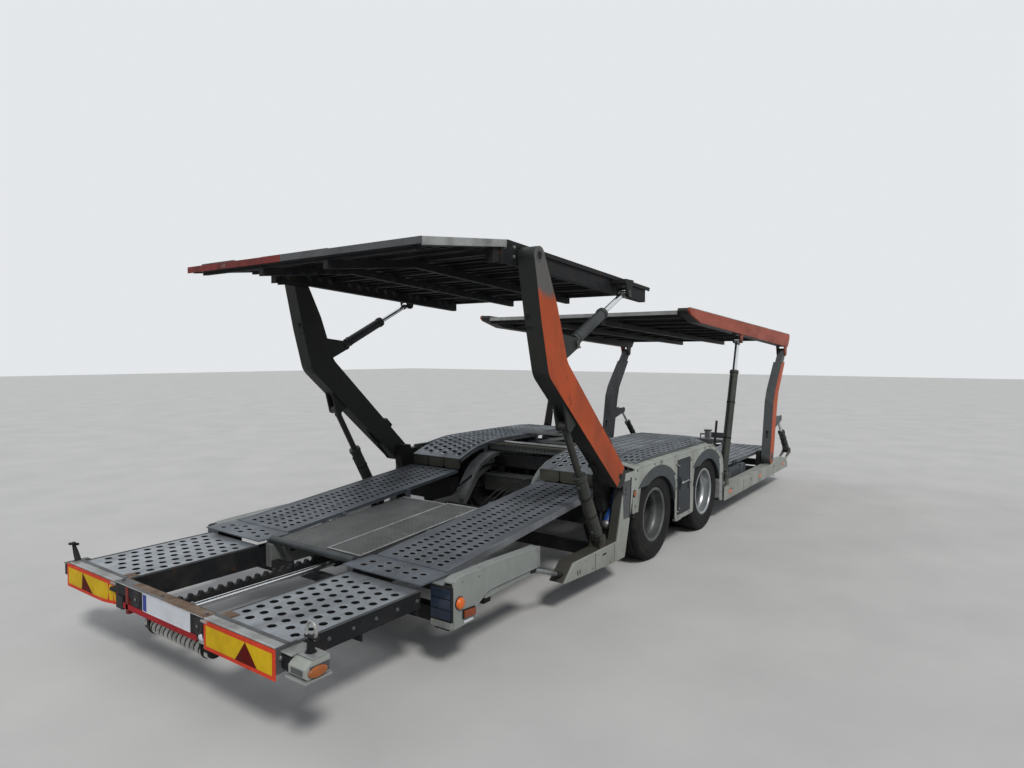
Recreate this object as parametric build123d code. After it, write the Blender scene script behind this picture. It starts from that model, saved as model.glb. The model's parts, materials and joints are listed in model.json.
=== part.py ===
# Two-deck car transporter trailer on a centre group of two twin-wheel axles, with a drawbar.
# Lengths in millimetres. Stations s run forward from the rear end of the trailer, y is to the
# left and z is up from the ground. The last step moves the station LENGTH / 2 to x = 0.
from build123d import *
import os
from math import hypot

os.makedirs("parts", exist_ok=True)

# Overall sizes and clearances
LENGTH = 9600
HALF_WIDTH = 1250
RUN_FIT = 0.1
SEAT_GAP = 0.3
MOVE_GAP = 6
SHEET = 6

# Wheels and axles
REAR_AXLE = 3725
AXLE_PITCH = 1250
FRONT_AXLE = REAR_AXLE + AXLE_PITCH
AXLE_S = (REAR_AXLE, FRONT_AXLE)
TYRE_R = 395
TYRE_W = 244
BEAD_R = 222
TWIN_PITCH = 276
WHEEL_INSET = 45
TWIN_MID = HALF_WIDTH - WHEEL_INSET - TYRE_W / 2 - TWIN_PITCH / 2
SPINDLE_R = 45
AXLE_TUBE_R = 65
DRUM_R = 175
HUB_R = 120
RIM_WALL = 12
DISC_T = 12
SPINDLE_END = TWIN_MID + 90
SPINDLE_ROOT = TWIN_MID - 300

# Widths across, from the outside in
RAIL_OUT = HALF_WIDTH - 5
RAIL_W = 125
RAIL_IN = RAIL_OUT - RAIL_W
SKIN_OUT = HALF_WIDTH - 20
SKIN_T = 10
GUARD_OUT = HALF_WIDTH - 50
GUARD_T = 30
STEP_OUT = HALF_WIDTH - 80
TRACK_OUT = HALF_WIDTH - 215
TRACK_W = 575
TRACK_IN = TRACK_OUT - TRACK_W
BEAM_OUT = TRACK_IN - 20
BEAM_W = 60
BEAM_IN = BEAM_OUT - BEAM_W

# Heights of the main frame
LOW_TOP = 500
LOW_UNDER = 340
FRONT_TOP = 450
FRONT_UNDER = 300
ARCH_TOP = 845
ARCH_UNDER = 700
FRAME_REAR = 970
FRAME_FRONT = LENGTH - 1250
ARCH_BEND_R = 160

# Lower decks
STEP_S = (905, 1150)
STEP_TOP = 532
STEP_T = 8
RAMP_TOP = (536, 716)
HUMP_REAR = REAR_AXLE - 825
DECK_REAR = HUMP_REAR + 140
HUMP_FRONT = FRONT_AXLE + 505
HUMP_REAR_UNDER = 722
HUMP_EDGE = 42
HUMP_TOP = (
    (DECK_REAR, 818), (DECK_REAR + 210, 895), (HUMP_REAR + 650, 950), (HUMP_FRONT - 530, 950),
    (HUMP_FRONT - 230, 905), (HUMP_FRONT, 800),
)
RAMP_S = (STEP_S[1], DECK_REAR - 20)
FRONT_TRACK = ((HUMP_FRONT + 10, 790), (HUMP_FRONT + 670, 500), (FRAME_FRONT - 200, 500))
TRACK_EDGE = 34
RIB_PITCH = 330

# Fenders and lockers
LINER_R = TYRE_R + 56
LINER_T = 8
FACE_OVAL = (TYRE_R + 160, TYRE_R + 42)
MOUTH_OVAL = (TYRE_R + 10, TYRE_R - 55)
MOUTH_HALF = TYRE_R + 8
FACE_UNDER = 295
FACE_IN = HALF_WIDTH - WHEEL_INSET + 8
SKIN_TOP = 2 * TYRE_R + 78
SHELF_TOP = SKIN_TOP + 40
DOOR_S = (REAR_AXLE + 448, FRONT_AXLE - 475)
DOOR_Z = (300, 818)
DOOR_GAP = 6
HINGE_S = DOOR_S[0] + 2
HINGE_Y = SKIN_OUT + 8
HINGE_R = 3
KNUCKLE_R = 7

# Rear extension
EXT_TOP = 490
EXT_UNDER = 390
EXT_LENGTH = 930
EXT_TRAVEL = 700
EXT_RUNNER_END = 1550
BAR_S = (6, 70)
ROD_Y = -160
ROD_Z = 455
ROD_R = 18
ROD_END = 1500
BARREL_MOUTH = 1060
RACK_Y = (35, 65)
RACK_Z = (395, 430)
TOOTH_PITCH = 60
TOOTH_H = 20
BOARD_T = 6
BOARD_W = 565
PANEL_EDGE = TRACK_OUT - BOARD_W - 90
PANEL_W = 520

# Rear arms: their outline is given from the base pin
ARM_OUT = HALF_WIDTH
ARM_W = 130
ARM_IN = ARM_OUT - ARM_W
ARM_BASE = (HUMP_REAR + 45, 850)
ARM_OFFSETS = (  # forward of the base pin, above it, corner radius
    (-1217, 1540, 0), (-1133, 1150, 300), (-1040, 800, 160), (-73, -55, 0), (71, 58, 0), (-810, 890, 160),
    (-945, 1260, 300), (-1103, 1575, 0),
)
ARM_BASE_R = 90
ARM_TIP_R = 60
PIN_R = 25
PIN_RECESS = 8

# Rear platform
DECK_HALF = HALF_WIDTH - 140
SIDE_BEAM_OUT = DECK_HALF - 10
SIDE_BEAM_W = 60
SIDE_BEAM_DEPTH = 128
TAIL_BEAM_DEPTH = 40
RIB_DEPTH = 60
RIB_W = 40
STRINGER_IN = 300
STRINGER_W = 40
STRINGER_DEPTH = 50

# Front posts and platform: the outline is given from the base pin
POST_OUT = HALF_WIDTH - 5
POST_W = 115
POST_IN = POST_OUT - POST_W
POST_BASE = (FRAME_FRONT - 900, 450)
POST_OFFSETS = (  # forward of the base pin, above it, corner radius
    (-88, 0, 0), (40, 730, 150), (120, 880, 150), (586, 1408, 0), (684, 1362, 0), (290, 850, 120), (230, 670, 120),
    (88, -5, 0),
)
POST_BASE_R = 90
POST_TIP_R = 55
POST_HEAD_W = 76
FRONT_BEAM_W = 120
FRONT_BEAM_IN = HALF_WIDTH - FRONT_BEAM_W
FRONT_BEAM_DEPTH = (130, 175)

# Cylinders
CYLINDER_Y = HALF_WIDTH - 65
FRONT_CYL_Y = HALF_WIDTH - 60
BARREL_START = 45
BARREL_FLOOR = 12
GLAND_LENGTH = 34
GLAND_EXTRA = 4
EYE_R = 38
EYE_WIDTH = 56
EAR_GAP = 66
EAR_T = 16
EAR_R = 40
CYL_PIN_R = 18

# Drawbar and support leg
EYE_RING_R = 55
EYE_S = LENGTH - EYE_RING_R
EYE_Z = 420
EYE_BORE_R = 20
EYE_T = 48
LEG_S = FRAME_FRONT + 210
LEG_HALF = 40
FOOT_HALF = 110
FOOT_T = 12


def at(origin, ds, dz):
    """The point ds ahead of another and dz above it, both (s, z)."""
    return (origin[0] + ds, origin[1] + dz)


ARM_TIP = at(ARM_BASE, -1160, 1558)
LIFT_LOW = at(ARM_BASE, -245, -440)
LIFT_EYE = at(ARM_BASE, -739, 452)
TILT_LOW = at(ARM_BASE, -655, 1020)
TILT_EYE = at(ARM_TIP, 1325, -125)
DECK_LINE = (at(ARM_TIP, -915, 2), at(ARM_TIP, -145, 92), at(ARM_TIP, 1995, -28))
POST_TIP = at(POST_BASE, 635, 1388)
POST_CYL_LOW = at(POST_BASE, 1030, -30)
POST_CYL_EYE = at(POST_BASE, 480, 480)
FRONT_LIFT_LOW = (HUMP_FRONT + 134, 470)
FRONT_LIFT_EYE = (FRONT_LIFT_LOW[0] + 451, POST_TIP[1] + 134)
FRONT_BEAM_TOP = (at(POST_TIP, -3735, 402), at(POST_TIP, 185, 252))

# Each cylinder: lower pin, upper eye, barrel length, barrel radius, rod length, rod radius, y
CYLINDERS = {
    "lift": (LIFT_LOW, LIFT_EYE, 590, 46, 690, 26, CYLINDER_Y),
    "tilt": (TILT_LOW, TILT_EYE, 520, 40, 620, 20, CYLINDER_Y),
    "front_lift": (FRONT_LIFT_LOW, FRONT_LIFT_EYE, 1200, 44, 900, 24, FRONT_CYL_Y),
    "front_post": (POST_CYL_LOW, POST_CYL_EYE, 440, 42, 450, 22, FRONT_CYL_Y),
}


def block(s0, s1, y0, y1, z0, z1):
    """A box between two stations, two widths and two heights."""
    return Pos(s0, y0, z0) * Box(s1 - s0, y1 - y0, z1 - z0, align=(Align.MIN, Align.MIN, Align.MIN))


def slab(points, y0, y1, radii=None):
    """A side outline of (s, z) points, given thickness from y0 to y1, with its corners rounded or not."""
    corners = [(s, y0, z) for s, z in points]
    wire = FilletPolyline(*corners, radius=radii, close=True) if radii else Polyline(*corners, close=True)
    return extrude(make_face(wire), amount=y1 - y0, dir=(0, 1, 0))


def slab_from(origin, offsets, y0, y1):
    """A side outline of (forward, up, corner radius) rows from an origin, given thickness."""
    return slab([at(origin, ds, dz) for ds, dz, _ in offsets], y0, y1, [r for _, _, r in offsets])


def barrel_between(p0, p1, radius):
    """A round bar from one point to another."""
    a, b = Vector(*p0), Vector(*p1)
    plane = Plane(origin=a, z_dir=(b - a).normalized())
    return plane * Cylinder(radius, (b - a).length, align=(Align.CENTER, Align.CENTER, Align.MIN))


def cross_bar(point, y0, y1, radius):
    """A round bar that lies across the trailer at a point (s, z)."""
    return barrel_between((point[0], y0, point[1]), (point[0], y1, point[1]), radius)


def pair(shape):
    """The shape on the left, and its mirror image on the right."""
    return [shape, mirror(shape, about=Plane.XZ)]


def pairs(shapes):
    """Each of the shapes with its mirror image."""
    return [side for shape in shapes for side in pair(shape)]


def level(line, s):
    """The height of a line of (s, z) points at a station."""
    for (s0, z0), (s1, z1) in zip(line, line[1:]):
        if s <= s1:
            return z0 + (z1 - z0) * (s - s0) / (s1 - s0)
    return z1


def along(line, s0, s1, drop, depth, y0, y1):
    """A strip that follows a line of (s, z) points, with its top drop below it."""
    stations = [s0] + [s for s, _ in line if s0 < s < s1] + [s1]
    top = [(s, level(line, s) - drop) for s in stations]
    under = [(s, z - depth) for s, z in reversed(top)]
    return slab(top + under, y0, y1)


def point_between(p, q, distance):
    """The point at a distance from p on the way to q, both (s, z)."""
    span = hypot(q[0] - p[0], q[1] - p[1])
    return (p[0] + (q[0] - p[0]) * distance / span, p[1] + (q[1] - p[1]) * distance / span)


def ears(point, anchor, y_mid, radius=EAR_R, gap=EAR_GAP, thickness=EAR_T):
    """Two plates either side of an eye, from an anchor outline given from the eye's point."""
    plates = []
    for y0 in (y_mid - gap / 2 - thickness, y_mid + gap / 2):
        plate = slab([at(point, ds, dz) for ds, dz in anchor], y0, y0 + thickness)
        plates.append(plate + cross_bar(point, y0, y0 + thickness, radius))
    return plates


def pinned_ears(point, anchor, y_mid, pin_r, radius=EAR_R, gap=EAR_GAP, thickness=EAR_T):
    """Ears with the pin that joins them."""
    inner, outer = ears(point, anchor, y_mid, radius, gap, thickness)
    reach = gap / 2 + thickness
    return inner + outer + cross_bar(point, y_mid - reach, y_mid + reach, pin_r)


def cylinder_barrel(low, eye, length, radius, bore, y_mid):
    """A cylinder's barrel with the eye at its lower end and a gland at its open top."""
    def bar(d0, d1, r):
        a, b = point_between(low, eye, d0), point_between(low, eye, d1)
        return barrel_between((a[0], y_mid, a[1]), (b[0], y_mid, b[1]), r)
    tube = bar(BARREL_START, length, radius) + bar(length - GLAND_LENGTH, length, radius + GLAND_EXTRA)
    tube -= bar(BARREL_START + BARREL_FLOOR, length, bore + RUN_FIT)
    half = EYE_WIDTH / 2
    foot = cross_bar(low, y_mid - half, y_mid + half, EYE_R) + bar(0, BARREL_START + 1, EYE_R * 0.7)
    foot -= cross_bar(low, y_mid - EYE_WIDTH, y_mid + EYE_WIDTH, CYL_PIN_R + RUN_FIT)
    return tube + foot


def cylinder_rod(low, eye, length, radius, y_mid):
    """A cylinder's rod, with the eye at its upper end."""
    end = point_between(eye, low, length)
    rod = barrel_between((eye[0], y_mid, eye[1]), (end[0], y_mid, end[1]), radius)
    return rod + cross_bar(eye, y_mid - EYE_WIDTH / 2, y_mid + EYE_WIDTH / 2, EYE_R)


def barrels(name):
    low, eye, length, radius, _, rod_r, y_mid = CYLINDERS[name]
    return pair(cylinder_barrel(low, eye, length, radius, rod_r, y_mid))


def rods(name):
    low, eye, _, _, length, rod_r, y_mid = CYLINDERS[name]
    return pair(cylinder_rod(low, eye, length, rod_r, y_mid))


def turned(profile, s, side):
    """A profile of (y, r) points turned about an axle, on the left (1) or right (-1)."""
    wire = Polyline(*[(s, side * y, TYRE_R + r) for y, r in profile], close=True)
    return revolve(make_face(wire), Axis((s, 0, TYRE_R), (0, 1, 0)), 360)


TYRE_SECTION = (  # share of the half width out from the tyre's middle, height over the bead seat
    (-0.72, 0), (-1, 80), (-0.93, TYRE_R - BEAD_R - 22), (-0.80, TYRE_R - BEAD_R),
    (0.80, TYRE_R - BEAD_R), (0.93, TYRE_R - BEAD_R - 22), (1, 80), (0.72, 0),
)


def tyres(s, side):
    """The twin tyres of one side: mirror images about the plane TWIN_MID."""
    both = []
    for away in (-1, 1):
        middle = TWIN_MID + away * TWIN_PITCH / 2
        both.append(turned([(middle + y * TYRE_W / 2, BEAD_R + r) for y, r in TYRE_SECTION], s, side))
    return both


def rims(s, side):
    """Two deep-dished rims back to back, and the hub with its brake drum between them."""
    seat_r = BEAD_R - SEAT_GAP
    inner_r = seat_r - RIM_WALL
    dish_r = HUB_R + 48
    lip_y = TWIN_PITCH / 2 + TYRE_W / 2 - 8
    root_y = TWIN_PITCH / 2 - TYRE_W / 2 + 8
    section = (  # distance out from the plane between the twin wheels, radius
        (0, HUB_R + SEAT_GAP), (0, dish_r), (root_y - 4, seat_r), (lip_y - 8, seat_r), (lip_y - 8, BEAD_R + 14),
        (lip_y, BEAD_R + 14), (lip_y, inner_r), (root_y + 12, inner_r), (DISC_T, dish_r), (DISC_T, HUB_R + SEAT_GAP),
    )
    both = [turned([(TWIN_MID + away * y, r) for y, r in section], s, side) for away in (-1, 1)]
    floor = SPINDLE_END + 5
    hub = (
        (SPINDLE_ROOT + 15, SPINDLE_R + RUN_FIT), (SPINDLE_ROOT + 15, DRUM_R), (TWIN_MID - 90, DRUM_R),
        (TWIN_MID - 80, HUB_R), (TWIN_MID + 24, HUB_R), (TWIN_MID + 34, 92), (floor + 25, 86), (floor + 37, 60),
        (floor + 37, 0), (floor, 0), (floor, SPINDLE_R + RUN_FIT),
    )
    both.append(turned(hub, s, side))
    return both


def axle_beams():
    shapes = []
    for s in AXLE_S:
        beam = cross_bar((s, TYRE_R), -SPINDLE_ROOT, SPINDLE_ROOT, AXLE_TUBE_R)
        beam += cross_bar((s, TYRE_R), -SPINDLE_END, SPINDLE_END, SPINDLE_R)
        shapes.append(beam)
    return shapes


# Trailing arms run from a hanger under the frame back to an air bag behind each axle.
SUSP_IN = BEAM_OUT + 30
SUSP_W = 80
SUSP_SEAT = TYRE_R + AXLE_TUBE_R
HANGER_AHEAD = 420
HANGER_HALF = 45
HANGER_UNDER = 440
BAG_Y = SUSP_IN + 90
BAG_R = 105
BAG_FLOOR = SUSP_SEAT - 30
BAG_TOP = ARCH_UNDER - 30
BAG_BEHIND = 330
SEAT_HALF = 90
SEAT_T = 55


def suspension_arms():
    shapes = []
    for s in AXLE_S:
        front, back = s + HANGER_AHEAD, s - BAG_BEHIND
        arm = slab(
            [
                (front + HANGER_HALF, SUSP_SEAT + 60), (s + 70, SUSP_SEAT + 50), (s - 70, SUSP_SEAT + 50),
                (back + 110, BAG_FLOOR), (back - 90, BAG_FLOOR), (back - 90, BAG_FLOOR - 30),
                (back + 130, BAG_FLOOR - 30), (s - 90, SUSP_SEAT), (s + 90, SUSP_SEAT),
                (front + HANGER_HALF, SUSP_SEAT + 10),
            ],
            SUSP_IN, SUSP_IN + SUSP_W,
        )
        shapes.append(arm)
    return pairs(shapes)


def air_bags():
    shapes = []
    for s in AXLE_S:
        back = s - BAG_BEHIND
        bag = (
            (0, BAG_FLOOR), (0.55 * BAG_R, BAG_FLOOR), (0.65 * BAG_R, BAG_FLOOR + 50),
            (0.95 * BAG_R, BAG_FLOOR + 80), (BAG_R, BAG_TOP - 60), (0.88 * BAG_R, BAG_TOP - 16),
            (0.88 * BAG_R, BAG_TOP), (0, BAG_TOP),
        )
        wire = Polyline(*[(back + r, BAG_Y, z) for r, z in bag], close=True)
        shapes.append(revolve(make_face(wire), Axis((back, BAG_Y, 0), (0, 0, 1)), 360))
    return pairs(shapes)


FRAME_OUTLINE = (  # station, height, corner radius
    (FRAME_REAR, LOW_TOP, 0), (HUMP_REAR + 60, LOW_TOP, ARCH_BEND_R), (HUMP_REAR + 260, 740, ARCH_BEND_R),
    (HUMP_REAR + 500, ARCH_TOP, ARCH_BEND_R), (HUMP_FRONT - 400, ARCH_TOP, ARCH_BEND_R),
    (HUMP_FRONT, 700, ARCH_BEND_R), (HUMP_FRONT + 370, FRONT_TOP, ARCH_BEND_R), (FRAME_FRONT, FRONT_TOP, 0),
    (FRAME_FRONT, FRONT_UNDER, 0), (HUMP_FRONT + 240, FRONT_UNDER, ARCH_BEND_R),
    (HUMP_FRONT - 150, 580, ARCH_BEND_R), (HUMP_FRONT - 440, ARCH_UNDER, ARCH_BEND_R),
    (HUMP_REAR + 560, ARCH_UNDER, ARCH_BEND_R), (HUMP_REAR + 350, 620, ARCH_BEND_R),
    (HUMP_REAR + 110, LOW_UNDER, ARCH_BEND_R), (FRAME_REAR, LOW_UNDER, 0),
)


def main_frame():
    """The two main beams, cranked up over the axles."""
    points = [(s, z) for s, z, _ in FRAME_OUTLINE]
    return pair(slab(points, BEAM_IN, BEAM_OUT, [r for _, _, r in FRAME_OUTLINE]))


# Cross members between the two main beams: station, lowest z, highest z
CROSS_MEMBERS = (
    (FRAME_REAR + 30, LOW_UNDER, 390), (FRAME_REAR + 530, LOW_UNDER, 390), (FRAME_REAR + 1330, LOW_UNDER, 390),
    (HUMP_REAR - 120, LOW_UNDER + 10, 470), (REAR_AXLE - 200, ARCH_UNDER + 10, 830),
    (FRONT_AXLE - 625, ARCH_UNDER + 10, 830), (FRONT_AXLE + 20, ARCH_UNDER + 10, 830),
    (HUMP_FRONT + 420, FRONT_UNDER + 10, 430), (POST_BASE[0] - 750, FRONT_UNDER + 10, 430),
    (POST_BASE[0], FRONT_UNDER + 10, 430), (FRAME_FRONT - 60, FRONT_UNDER, FRONT_TOP),
)
CROSS_T = 60


def cross_members():
    return [
        block(s - CROSS_T / 2, s + CROSS_T / 2, -BEAM_IN, BEAM_IN, z0, z1) for s, z0, z1 in CROSS_MEMBERS
    ]


# Outriggers from the main beams out to the sides: station, inner y, outer y, lowest z, highest z
LOW_OUT = (LOW_UNDER - 85, LOW_UNDER)
FRONT_OUT = (FRONT_UNDER - 85, FRONT_UNDER)
OUTRIGGERS = (
    (FRAME_REAR + 150, BEAM_IN, TRACK_OUT + 25, *LOW_OUT), (FRAME_REAR + 530, BEAM_IN, TRACK_OUT + 25, *LOW_OUT),
    (HUMP_REAR - 140, BEAM_IN, RAIL_IN, *LOW_OUT), (ARM_BASE[0] + 40, BEAM_OUT, TRACK_OUT + 7, 430, 650),
    (FRONT_AXLE - 625, BEAM_IN, TRACK_OUT + 25, ARCH_UNDER - 90, ARCH_UNDER),
    (HUMP_FRONT + 280, BEAM_IN, RAIL_IN, *FRONT_OUT), (POST_BASE[0], BEAM_IN, RAIL_IN, *FRONT_OUT),
    (FRAME_FRONT - 200, BEAM_IN, RAIL_IN, *FRONT_OUT),
)
OUTRIGGER_T = 70


def outriggers():
    """Outriggers, and the plates that carry the suspension arms and the air bags."""
    half = OUTRIGGER_T / 2
    shapes = [block(s - half, s + half, y0, y1, z0, z1) for s, y0, y1, z0, z1 in OUTRIGGERS]
    for s in AXLE_S:
        front, back = s + HANGER_AHEAD, s - BAG_BEHIND
        shapes.append(
            block(front - HANGER_HALF, front + HANGER_HALF, BEAM_OUT, SUSP_IN, HANGER_UNDER, ARCH_UNDER + 20)
        )
        shapes.append(
            block(back - SEAT_HALF, back + SEAT_HALF, BEAM_OUT, BAG_Y + SEAT_HALF, BAG_TOP, BAG_TOP + SEAT_T)
        )
    return pairs(shapes)


DRAWBAR_T = 110
DRAWBAR_TOP = EYE_Z + 50
DRAWBAR_NOSE = EYE_S - 245


def drawbar():
    """Two legs that meet at a neck with the ring eye."""
    bar = None
    for side in (-1, 1):
        legs = Polyline(
            (FRAME_FRONT, side * BEAM_OUT, 0), (DRAWBAR_NOSE, side * 60, 0), (DRAWBAR_NOSE, 0, 0),
            (DRAWBAR_NOSE - 120, 0, 0), (FRAME_FRONT, side * (BEAM_OUT - DRAWBAR_T), 0), close=True,
        )
        leg = Pos(0, 0, DRAWBAR_TOP - DRAWBAR_T) * extrude(make_face(legs), amount=DRAWBAR_T, dir=(0, 0, 1))
        bar = leg if bar is None else bar + leg
    bar += block(DRAWBAR_NOSE - 120, EYE_S - 105, -55, 55, EYE_Z - 50, EYE_Z + 40)
    bar += block(EYE_S - 115, EYE_S - 35, -32, 32, EYE_Z - EYE_T / 2, EYE_Z + EYE_T / 2)
    upright = (Align.CENTER, Align.CENTER, Align.CENTER)
    bar += Pos(EYE_S, 0, EYE_Z) * Cylinder(EYE_RING_R, EYE_T, align=upright)
    bar -= Pos(EYE_S, 0, EYE_Z) * Cylinder(EYE_BORE_R, EYE_T + 20, align=upright)
    return [bar]


def support_leg():
    """The jack leg that the parked trailer stands on, carried by a plate on the drawbar."""
    leg = block(LEG_S - LEG_HALF, LEG_S + LEG_HALF, -LEG_HALF, LEG_HALF, 120, DRAWBAR_TOP + 150)
    inner = LEG_HALF - 10
    leg += block(LEG_S - inner, LEG_S + inner, -inner, inner, FOOT_T, 130)
    leg += block(LEG_S - FOOT_HALF, LEG_S + FOOT_HALF, -FOOT_HALF, FOOT_HALF, 0, FOOT_T)
    carrier = block(LEG_S - 80, LEG_S + 80, -BEAM_IN + 50, BEAM_IN - 50, DRAWBAR_TOP, DRAWBAR_TOP + 30)
    return [leg + carrier]


def folded_track(line, s0, s1, y0, y1, edge, rib_step):
    """A track of sheet with folded edges and cross ribs under it."""
    track = along(line, s0, s1, 0, SHEET, y0, y1)
    for y in (y0, y1 - SHEET):
        track += along(line, s0, s1, SHEET - 1, edge, y, y + SHEET)
    count = max(2, round((s1 - s0) / rib_step) + 1)
    for i in range(count):
        s = s0 + 10 + (s1 - s0 - 20 - SHEET) * i / (count - 1)
        track += along(line, s, s + SHEET, SHEET - 1, edge * 0.8, y0, y1)
    return track


FOOT_STATIONS = (RAMP_S[0] + 500, RAMP_S[0] + 1200)
FOOT_W = 30


def rear_ramps():
    line = tuple(zip(RAMP_S, RAMP_TOP))
    ramp = folded_track(line, *RAMP_S, TRACK_IN - 10, TRACK_OUT, 20, 290)
    for s in FOOT_STATIONS:
        top = level(line, s) - SHEET / 2
        ramp += block(s - FOOT_W / 2, s + FOOT_W / 2, BEAM_OUT - 15, TRACK_IN - 4, LOW_TOP, top)
    return pair(ramp)


def step_plates():
    line = ((STEP_S[0], STEP_TOP), (STEP_S[1], STEP_TOP))
    plate = along(line, *STEP_S, 0, STEP_T, BEAM_OUT - 20, STEP_OUT)
    foot = block(STEP_S[0] + 75, STEP_S[1] - 10, BEAM_OUT - 20, BEAM_OUT, LOW_TOP, STEP_TOP - STEP_T + 1)
    return pair(plate + foot)


COVER_LINE = ((STEP_S[1] - 105, 520), (STEP_S[1] + 1120, 600))
LID_RISE = 22
LID_T = 26
SLATS = (  # station, length along, thickness
    (HUMP_REAR + 585, 130, 48), (REAR_AXLE + 90, 150, 8), (REAR_AXLE + 430, 150, 8),
)
SLAT_RISE = 20


def centre_covers():
    """A flat cover on the left, a raised lid on the right, and the slats between the raised decks."""
    (s0, _), (s1, _) = COVER_LINE
    outer = BEAM_OUT - 25
    left = along(COVER_LINE, s0, s1, 0, SHEET, -95, outer)
    left += along(COVER_LINE, s0, s1, SHEET - 1, 14, outer - SHEET, outer)
    right = along(COVER_LINE, s0, s1 - 40, -LID_RISE, LID_T, 5 - outer, -105)
    for s in (s0 + 455, s1 - 70):
        top = level(COVER_LINE, s) - 3
        left += block(s - FOOT_W / 2, s + FOOT_W / 2, BEAM_IN + 5, BEAM_IN + 5 + FOOT_W, LOW_TOP, top)
        right += block(s - FOOT_W / 2, s + FOOT_W / 2, -BEAM_IN - 35, -BEAM_IN - 5, LOW_TOP, top)
    slats = []
    for s, along_s, thick in SLATS:
        top = ARCH_TOP + SLAT_RISE
        slat = block(s, s + along_s, -BEAM_OUT + 4, BEAM_OUT - 4, top, top + thick)
        for side in (-1, 1):
            y0 = min(side * BEAM_IN, side * BEAM_OUT)
            slat += block(s + 40, s + along_s - 40, y0 + 5, y0 + BEAM_W - 5, ARCH_TOP, top + 1)
        slats.append(slat)
    return [left, right, *slats]


FLAP_SLOT = 12
FLAP_COUNT = 3


def wheel_decks():
    """Decks that rise over the wheels, with slotted flaps closing their rear ends."""
    y0, y1 = TRACK_IN - 15, TRACK_OUT + 5
    s0, z0 = HUMP_TOP[0]
    deck = folded_track(HUMP_TOP, s0, HUMP_TOP[-1][0], y0, y1, HUMP_EDGE, RIB_PITCH)
    deck += block(s0, s0 + SHEET, y0, y1, HUMP_REAR_UNDER, z0)
    for i in range(1, FLAP_COUNT):
        y = y0 + (y1 - y0) * i / FLAP_COUNT - FLAP_SLOT / 2
        deck -= block(s0 - 1, s0 + SHEET + 1, y, y + FLAP_SLOT, HUMP_REAR_UNDER - 1, z0 - HUMP_EDGE)
    for s in (HUMP_REAR + 540, FRONT_AXLE - 625, HUMP_FRONT - 480):
        deck += block(s - 20, s + 20, BEAM_OUT, TRACK_IN, ARCH_TOP - 85, level(HUMP_TOP, s) - 4)
    return pair(deck)


def front_runways():
    (s0, _), _, (s1, top) = FRONT_TRACK
    track = folded_track(FRONT_TRACK, s0, s1, TRACK_IN - 15, TRACK_OUT + 5, TRACK_EDGE, RIB_PITCH)
    for s in (s0 + 810, s0 + 1710, s1 - 50):
        track += block(s - 20, s + 20, BEAM_OUT, TRACK_IN + 25, FRONT_UNDER + 11, top - 20)
    return pair(track)


SKIN_OUTLINE = (  # station, height, corner radius
    (HUMP_REAR + 345, SKIN_TOP, 0), (FRONT_AXLE + 110, SKIN_TOP, 120), (FRONT_AXLE + 265, 815, 100),
    (FRONT_AXLE + 440, 735, 60), (FRONT_AXLE + 509, 640, 50), (FRONT_AXLE + 509, 225, 50),
    (FRONT_AXLE + 405, 225, 40), (FRONT_AXLE + 395, 470, 0), (FRONT_AXLE - 395, 470, 0),
    (FRONT_AXLE - 395, 262, 20), (REAR_AXLE + 395, 262, 20), (REAR_AXLE + 395, 500, 0),
    (HUMP_REAR + 318, 500, 0), (HUMP_REAR + 325, 770, 0), (HUMP_REAR + 345, 800, 0),
)
HINGE_STUBS = (DOOR_Z[0] + 38, DOOR_Z[1] - 48)
STUB_T = 8
UPRIGHT = (Align.CENTER, Align.CENTER, Align.MIN)


def oval(hub, radii, y0, y1):
    """An oval disc across the trailer: half length along, half height."""
    plane = Plane(origin=(hub[0], y0, hub[1]), x_dir=(1, 0, 0), z_dir=(0, 1, 0))
    return extrude(plane * Ellipse(*radii), amount=y1 - y0)


def above(hub, y0, y1, height):
    """The space above a height over a hub."""
    reach = FACE_OVAL[0] + 20
    return block(hub[0] - reach, hub[0] + reach, y0, y1, hub[1] + height, hub[1] + reach)


def mouth_sides(hub, y0, y1, half):
    """The space between the upright edges of a wheel opening."""
    s, z = hub
    return slab(
        [(s - half, z - 200), (s - half, z + 125), (s - half + 54, z + 310), (s + half - 44, z + 310),
         (s + half - 4, z + 230), (s + half, z + 50), (s + half, z - 200)],
        y0, y1,
    )


def fenders():
    """The side skins, open at the wheels and the locker doors, and the sloped shelves up to the decks."""
    points = [(s, z) for s, z, _ in SKIN_OUTLINE]
    skin = slab(points, SKIN_OUT - SKIN_T, SKIN_OUT, [r for _, _, r in SKIN_OUTLINE])
    y0, y1 = SKIN_OUT - SKIN_T - 1, SKIN_OUT + 1
    for s in AXLE_S:
        hub = (s, TYRE_R)
        skin -= mouth_sides(hub, y0, y1, MOUTH_HALF)
        skin -= oval(hub, FACE_OVAL, y0, y1) & above(hub, y0, y1, FACE_UNDER)
    skin -= block(*DOOR_S, y0, y1, *DOOR_Z)
    for z in HINGE_STUBS:
        skin += block(DOOR_S[0] - 20, HINGE_S + HINGE_R, SKIN_OUT - 1, HINGE_Y + 5, z, z + STUB_T)
    z0, z1 = HINGE_STUBS
    skin += Pos(HINGE_S, HINGE_Y, z0 + 2) * Cylinder(HINGE_R, z1 - z0 + 4, align=UPRIGHT)
    s0, s1 = HUMP_REAR + 345, FRONT_AXLE + 110
    section = [
        (s0, TRACK_OUT + 5, SHELF_TOP), (s0, SKIN_OUT - SKIN_T, SKIN_TOP),
        (s0, SKIN_OUT - SKIN_T, SKIN_TOP - SHEET), (s0, TRACK_OUT + 5, SHELF_TOP - SHEET),
    ]
    shelf = extrude(make_face(Polyline(*section, close=True)), amount=s1 - s0, dir=(1, 0, 0))
    return pairs([skin, shelf])


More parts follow.
